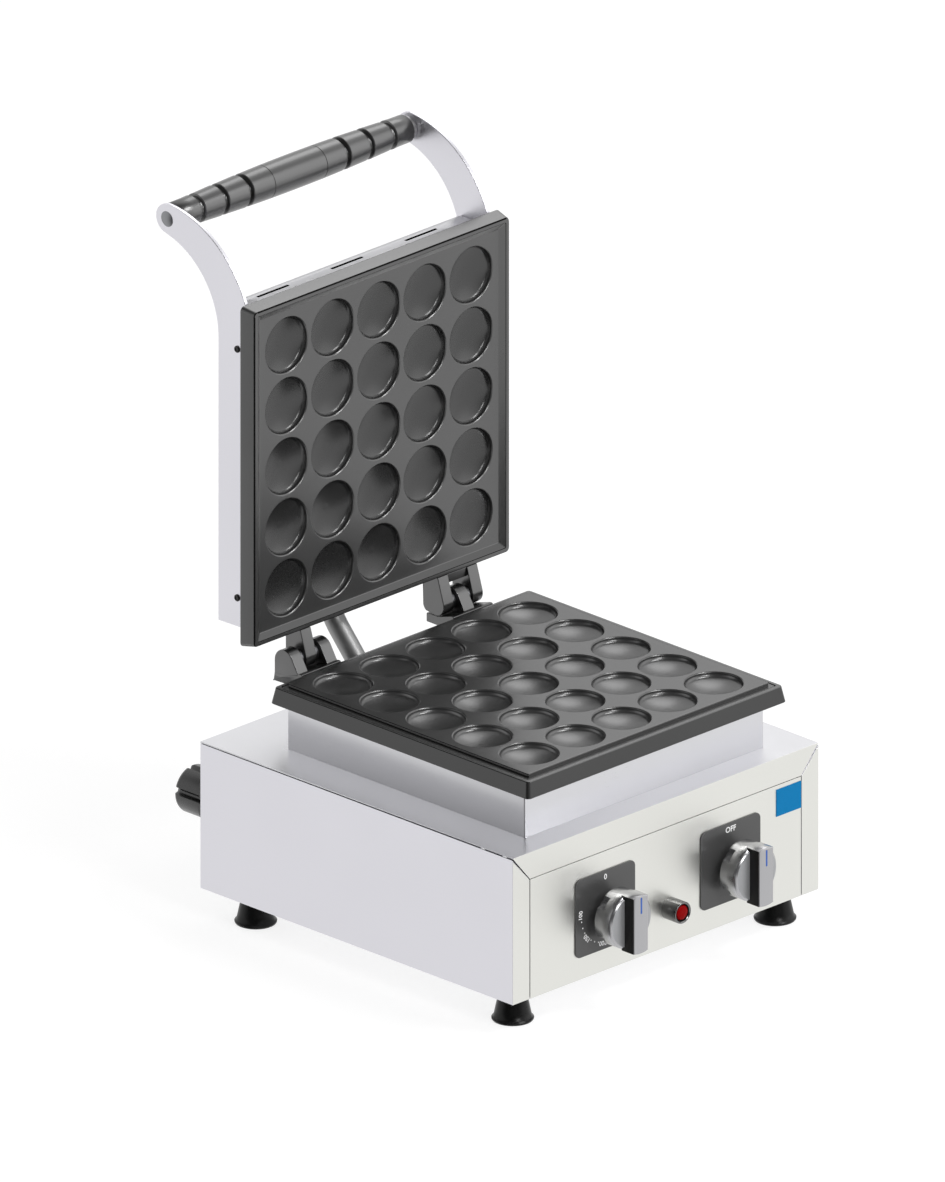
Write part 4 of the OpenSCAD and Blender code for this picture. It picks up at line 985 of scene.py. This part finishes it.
KNOB_R = 21.3
KNOB_BACK = 10.8
KNOB_FACE = 27.4
KNOB_REACH = 37.2
KNOB_STEPS = 144
NOTCH_DEEP = 2.9
NOTCH_HALF = 12.5
NOTCH_END = KNOB_BACK + 6.5
BAR_HALF_W = 7.2
BAR_HALF = 22.5
KNOB_DRUM = [
    (12.6, 4.6, 0), (13, 5, 0), (13, KNOB_BACK - 0.2, 0), (KNOB_R - 0.5, KNOB_BACK, 1),
    (KNOB_R, KNOB_BACK + 0.5, 1), (KNOB_R, NOTCH_END - 1.6, 1), (KNOB_R, NOTCH_END - 0.6, 0.75),
    (KNOB_R, NOTCH_END, 0), (KNOB_R, KNOB_FACE - 2.2, 0), (KNOB_R - 0.25, KNOB_FACE - 1.7, 0),
    (KNOB_R - 1.75, KNOB_FACE - 0.2, 0), (KNOB_R - 2.2, KNOB_FACE, 0),
]


def knob(name, x):
    """Metal knob: drum with four notches at its back, flat face and a grip bar with a line"""
    def place(a, b, h):
        return at(x + a, -h, KNOB_Z + b)

    def notch(angle):
        off = abs(angle % 90 - 45) / NOTCH_HALF
        return NOTCH_DEEP * max(0.0, 1 - off ** 2)
    body = name + "_knob_body"
    bm = bmesh.new()
    carved(bm, KNOB_DRUM, place, KNOB_STEPS, 180 / KNOB_STEPS, notch)
    obj = piece(body, bm, KNOB, body, [name + "_knob"], sharp=28)
    also(obj, KNOB_FRONT, faces_front)
    loops = []
    for h, inset in ((KNOB_FACE - 3, 0), (KNOB_REACH - 1.0, 0), (KNOB_REACH - 0.3, 0.35),
                     (KNOB_REACH, 1.0)):
        reach = BAR_HALF - inset
        side = math.degrees(math.asin((BAR_HALF_W - inset) / reach))
        outline = [p for middle in (270, 90)
                   for p in arc((0, 0), reach, middle - side, middle + side, 10)]
        loops.append([place(a, b, h) for a, b in outline])
    bm = bmesh.new()
    rings(bm, loops)
    obj = piece(name + "_knob_bar", bm, KNOB, body, sharp=28)
    # The bar's side faces get the dark copy of the knob metal: painted dark reflection
    also(obj, KNOB_SHADED_FLANK, lambda face: abs(face.normal.x) > 0.95)
    bm = bmesh.new()
    outline = [(a, BAR_HALF - 7.8 + b) for a, b in rounded(0.75, 6.3, 0.6, 3)]
    prism(bm, outline, KNOB_REACH - 0.2, KNOB_REACH + 0.04, place)
    piece(name + "_pointer", bm, POINTER, body)


LAMP = (158.5, 29.5)
LAMP_RING = [(8.25, 0), (8.25, 13.4), (8.05, 14.0), (7.6, 14.3), (7.2, 14.2), (6.7, 13.5),
             (6.3, 13.3), (5.9, 13.0), (5.8, 11.5)]
LAMP_GLASS = [(5.7, 11), (5.6, 12.8), (5.2, 13.5), (4.4, 13.9), (3.0, 14.1), (1.4, 14.2)]
LAMP_GAP_R = 6.8


def pilot_lamp():
    def place(a, b, h):
        return at(LAMP[0] + a, -h, LAMP[1] + b)
    bm = bmesh.new()
    lathe(bm, LAMP_RING, place)
    obj = piece("pilot_lamp_ring", bm, BEZEL, "base", ["pilot_lamp_bezel"],
                sharp=50)
    middle = place(0, 0, 0)
    # Near black on the ring's inner step round the glass: painted shade
    also(obj, PAINTED_SHADE, lambda face: math.hypot(face.center.x - middle.x,
                                           face.center.z - middle.z) < LAMP_GAP_R * MM)
    bm = bmesh.new()
    lathe(bm, LAMP_GLASS, place)
    piece("pilot_lamp_glass", bm, LENS, "base", ["pilot_lamp_lens"], sharp=60)


def badge():
    lo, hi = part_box("front_badge")
    bm = bmesh.new()
    block(bm, lo, hi, lambda a, b, c: (a, b, c))
    piece("blue_square", bm, BLUE, "base", ["front_badge"], bevel=0.15)


base_top_panel()
base_side("base_left_skin", "base_side_left", True)
base_side("base_right_skin", "base_side_right", False)
control_panel()
collar()
feet()
lower_plate()
upper_plate()
lid_cover()
side_plates()
side_screws()
handle()
lower_hinge("left", -1, LUG_PAIR)
lower_hinge("right", 1, LUG_ONE)
upper_hinge("left", -1, LUG_ONE)
upper_hinge("right", 1, LUG_PAIR)
conduit()
gland()
for name, x in (("thermostat", THERMOSTAT_X), ("switch", SWITCH_X)):
    dial_plate(name, x)
    knob(name, x)
print_on_dial("thermostat_print", THERMOSTAT_X, HEAT_LABELS, HEAT_DOTS)
print_on_dial("switch_print", SWITCH_X, SWITCH_LABELS)
pilot_lamp()
badge()


# Floor, light and camera; places and lengths from here on are in metres

FLOOR_R = 6
FLOOR_SIDES = 64
FLOOR_SEEN = 0.3
FLOOR_GLOW = 0.78
FLOOR_TRUE = 0.8
WORLD_LIGHT = 0.62
ROOM_DARK = 0.12
DARK_LEFT = (-0.75, -0.65, 0)
DARK_SIDE = (-0.71, -0.71, 0)
DARK_LOW = (-0.92, -0.1, -0.38)
OVERHEAD_RAMP = (0.42, 0.78)
LEFT_RAMP = (-0.5, -0.1)
SIDE_RAMP = (0.3, 0.75)
HORIZON_RAMP = (-0.3, 0.02)
LOW_RAMP = (0.74, 0.92)
LAMPS = [
    ("key", (-0.45, -2.4, 1.5), 0.9, 17),
    ("fill", (1.8, -1.4, 1.2), 2.2, 7),
    ("top", (1.4, 0.9, 1.9), 1.0, 5),
    ("glint", (0.5, -1.15, 1.85), 0.7, 12),
]
LAMP_TARGET = Vector((0, 0.03, 0.24))
IMAGE_HEIGHT = 1182
PIXELS_PER_MM = 1.3987
AZIMUTH = 45.17
ELEVATION = 22.25
VIEW_CENTRE = Vector((-0.09574, -0.07795, 0.29727))
CAMERA_REACH = 3
VIEW_DEPTH = 20


def floor():
    """Pale floor with the object's soft shadow; gloss looks past it, to the room"""
    bm = bmesh.new()
    bmesh.ops.create_circle(bm, cap_ends=True, radius=FLOOR_R, segments=FLOOR_SIDES)
    mesh = bpy.data.meshes.new("floor")
    bm.to_mesh(mesh)
    bm.free()
    obj = bpy.data.objects.new("floor", mesh)
    bpy.context.scene.collection.objects.link(obj)
    mat = bpy.data.materials.new("floor")
    mat.use_nodes = True
    tree = mat.node_tree
    plain = tree.nodes["Principled BSDF"]
    plain.inputs["Base Color"].default_value = (FLOOR_TRUE, FLOOR_TRUE, FLOOR_TRUE, 1)
    plain.inputs["Roughness"].default_value = 1
    plain.inputs["Specular IOR Level"].default_value = 0
    shade = node_of(tree, "ShaderNodeBsdfDiffuse", {
        "Color": (FLOOR_SEEN, FLOOR_SEEN, FLOOR_SEEN, 1)})
    glow = node_of(tree, "ShaderNodeEmission", {"Strength": FLOOR_GLOW})
    pale = node_of(tree, "ShaderNodeAddShader", {0: shade.outputs[0], 1: glow.outputs[0]})
    mix = node_of(tree, "ShaderNodeMixShader", {
        "Fac": seen_rays(tree), 1: plain.outputs[0], 2: pale.outputs[0]})
    clear = tree.nodes.new("ShaderNodeBsdfTransparent")
    open_to_gloss = node_of(tree, "ShaderNodeMixShader", {
        "Fac": ray_is(tree, "Is Glossy Ray"), 1: mix.outputs[0], 2: clear.outputs[0]})
    tree.links.new(open_to_gloss.outputs[0], tree.nodes["Material Output"].inputs["Surface"])
    mesh.materials.append(mat)


def area_light(name, place, size, power):
    light = bpy.data.lights.new(name, "AREA")
    light.shape = "DISK"
    light.size = size
    light.energy = power
    obj = bpy.data.objects.new(name, light)
    obj.location = place
    obj.rotation_euler = (LAMP_TARGET - Vector(place)).to_track_quat("-Z", "Y").to_euler()
    bpy.context.scene.collection.objects.link(obj)


def room_level(tree):
    """Level of the room by direction: 1 to the camera, and in reflections it falls to
    ROOM_DARK overhead but for the back right, at the front left above the horizon, and low
    at the left"""
    place = tree.nodes.new("ShaderNodeTexCoord").outputs["Generated"]
    height = dot_of(tree, place, (0, 0, 1))
    over = math_of(tree, "MULTIPLY", smooth_ramp(tree, height, *OVERHEAD_RAMP),
                   smooth_ramp(tree, dot_of(tree, place, DARK_LEFT), *LEFT_RAMP))
    side = math_of(tree, "MULTIPLY",
                   smooth_ramp(tree, dot_of(tree, place, DARK_SIDE), *SIDE_RAMP),
                   smooth_ramp(tree, height, *HORIZON_RAMP))
    low = smooth_ramp(tree, dot_of(tree, place, DARK_LOW), *LOW_RAMP)
    dark = math_of(tree, "MAXIMUM", math_of(tree, "MAXIMUM", over, side), low)
    unseen = math_of(tree, "SUBTRACT", 1, ray_is(tree, "Is Camera Ray"))
    fall = math_of(tree, "MULTIPLY", math_of(tree, "MULTIPLY", dark, unseen), 1 - ROOM_DARK)
    return math_of(tree, "SUBTRACT", 1, fall)


def studio():
    """White background for what is seen, a plain level for all other light, and the lamps"""
    world = bpy.data.worlds.new("studio")
    bpy.context.scene.world = world
    world.use_nodes = True
    tree = world.node_tree
    plain = tree.nodes["Background"]
    plain.inputs["Color"].default_value = (1, 1, 1, 1)
    plain.inputs["Strength"].default_value = WORLD_LIGHT
    white = node_of(tree, "ShaderNodeBackground", {
        "Color": (1, 1, 1, 1), "Strength": room_level(tree)})
    mix = node_of(tree, "ShaderNodeMixShader", {
        "Fac": seen_rays(tree), 1: plain.outputs[0], 2: white.outputs[0]})
    tree.links.new(mix.outputs[0], tree.nodes["World Output"].inputs["Surface"])
    for name, place, size, power in LAMPS:
        area_light(name, place, size, power)


def camera():
    """Parallel camera at the photograph's angle and scale"""
    data = bpy.data.cameras.new("camera")
    data.type = "ORTHO"
    data.ortho_scale = IMAGE_HEIGHT / PIXELS_PER_MM * MM
    data.clip_end = VIEW_DEPTH
    obj = bpy.data.objects.new("camera", data)
    bpy.context.scene.collection.objects.link(obj)
    azimuth, elevation = math.radians(AZIMUTH), math.radians(ELEVATION)
    forward = Vector((math.sin(azimuth) * math.cos(elevation),
                      math.cos(azimuth) * math.cos(elevation), -math.sin(elevation)))
    obj.location = VIEW_CENTRE - forward * CAMERA_REACH
    obj.rotation_euler = forward.to_track_quat("-Z", "Y").to_euler()
    bpy.context.scene.camera = obj


floor()
studio()
camera()
bpy.context.scene.view_settings.view_transform = "Standard"
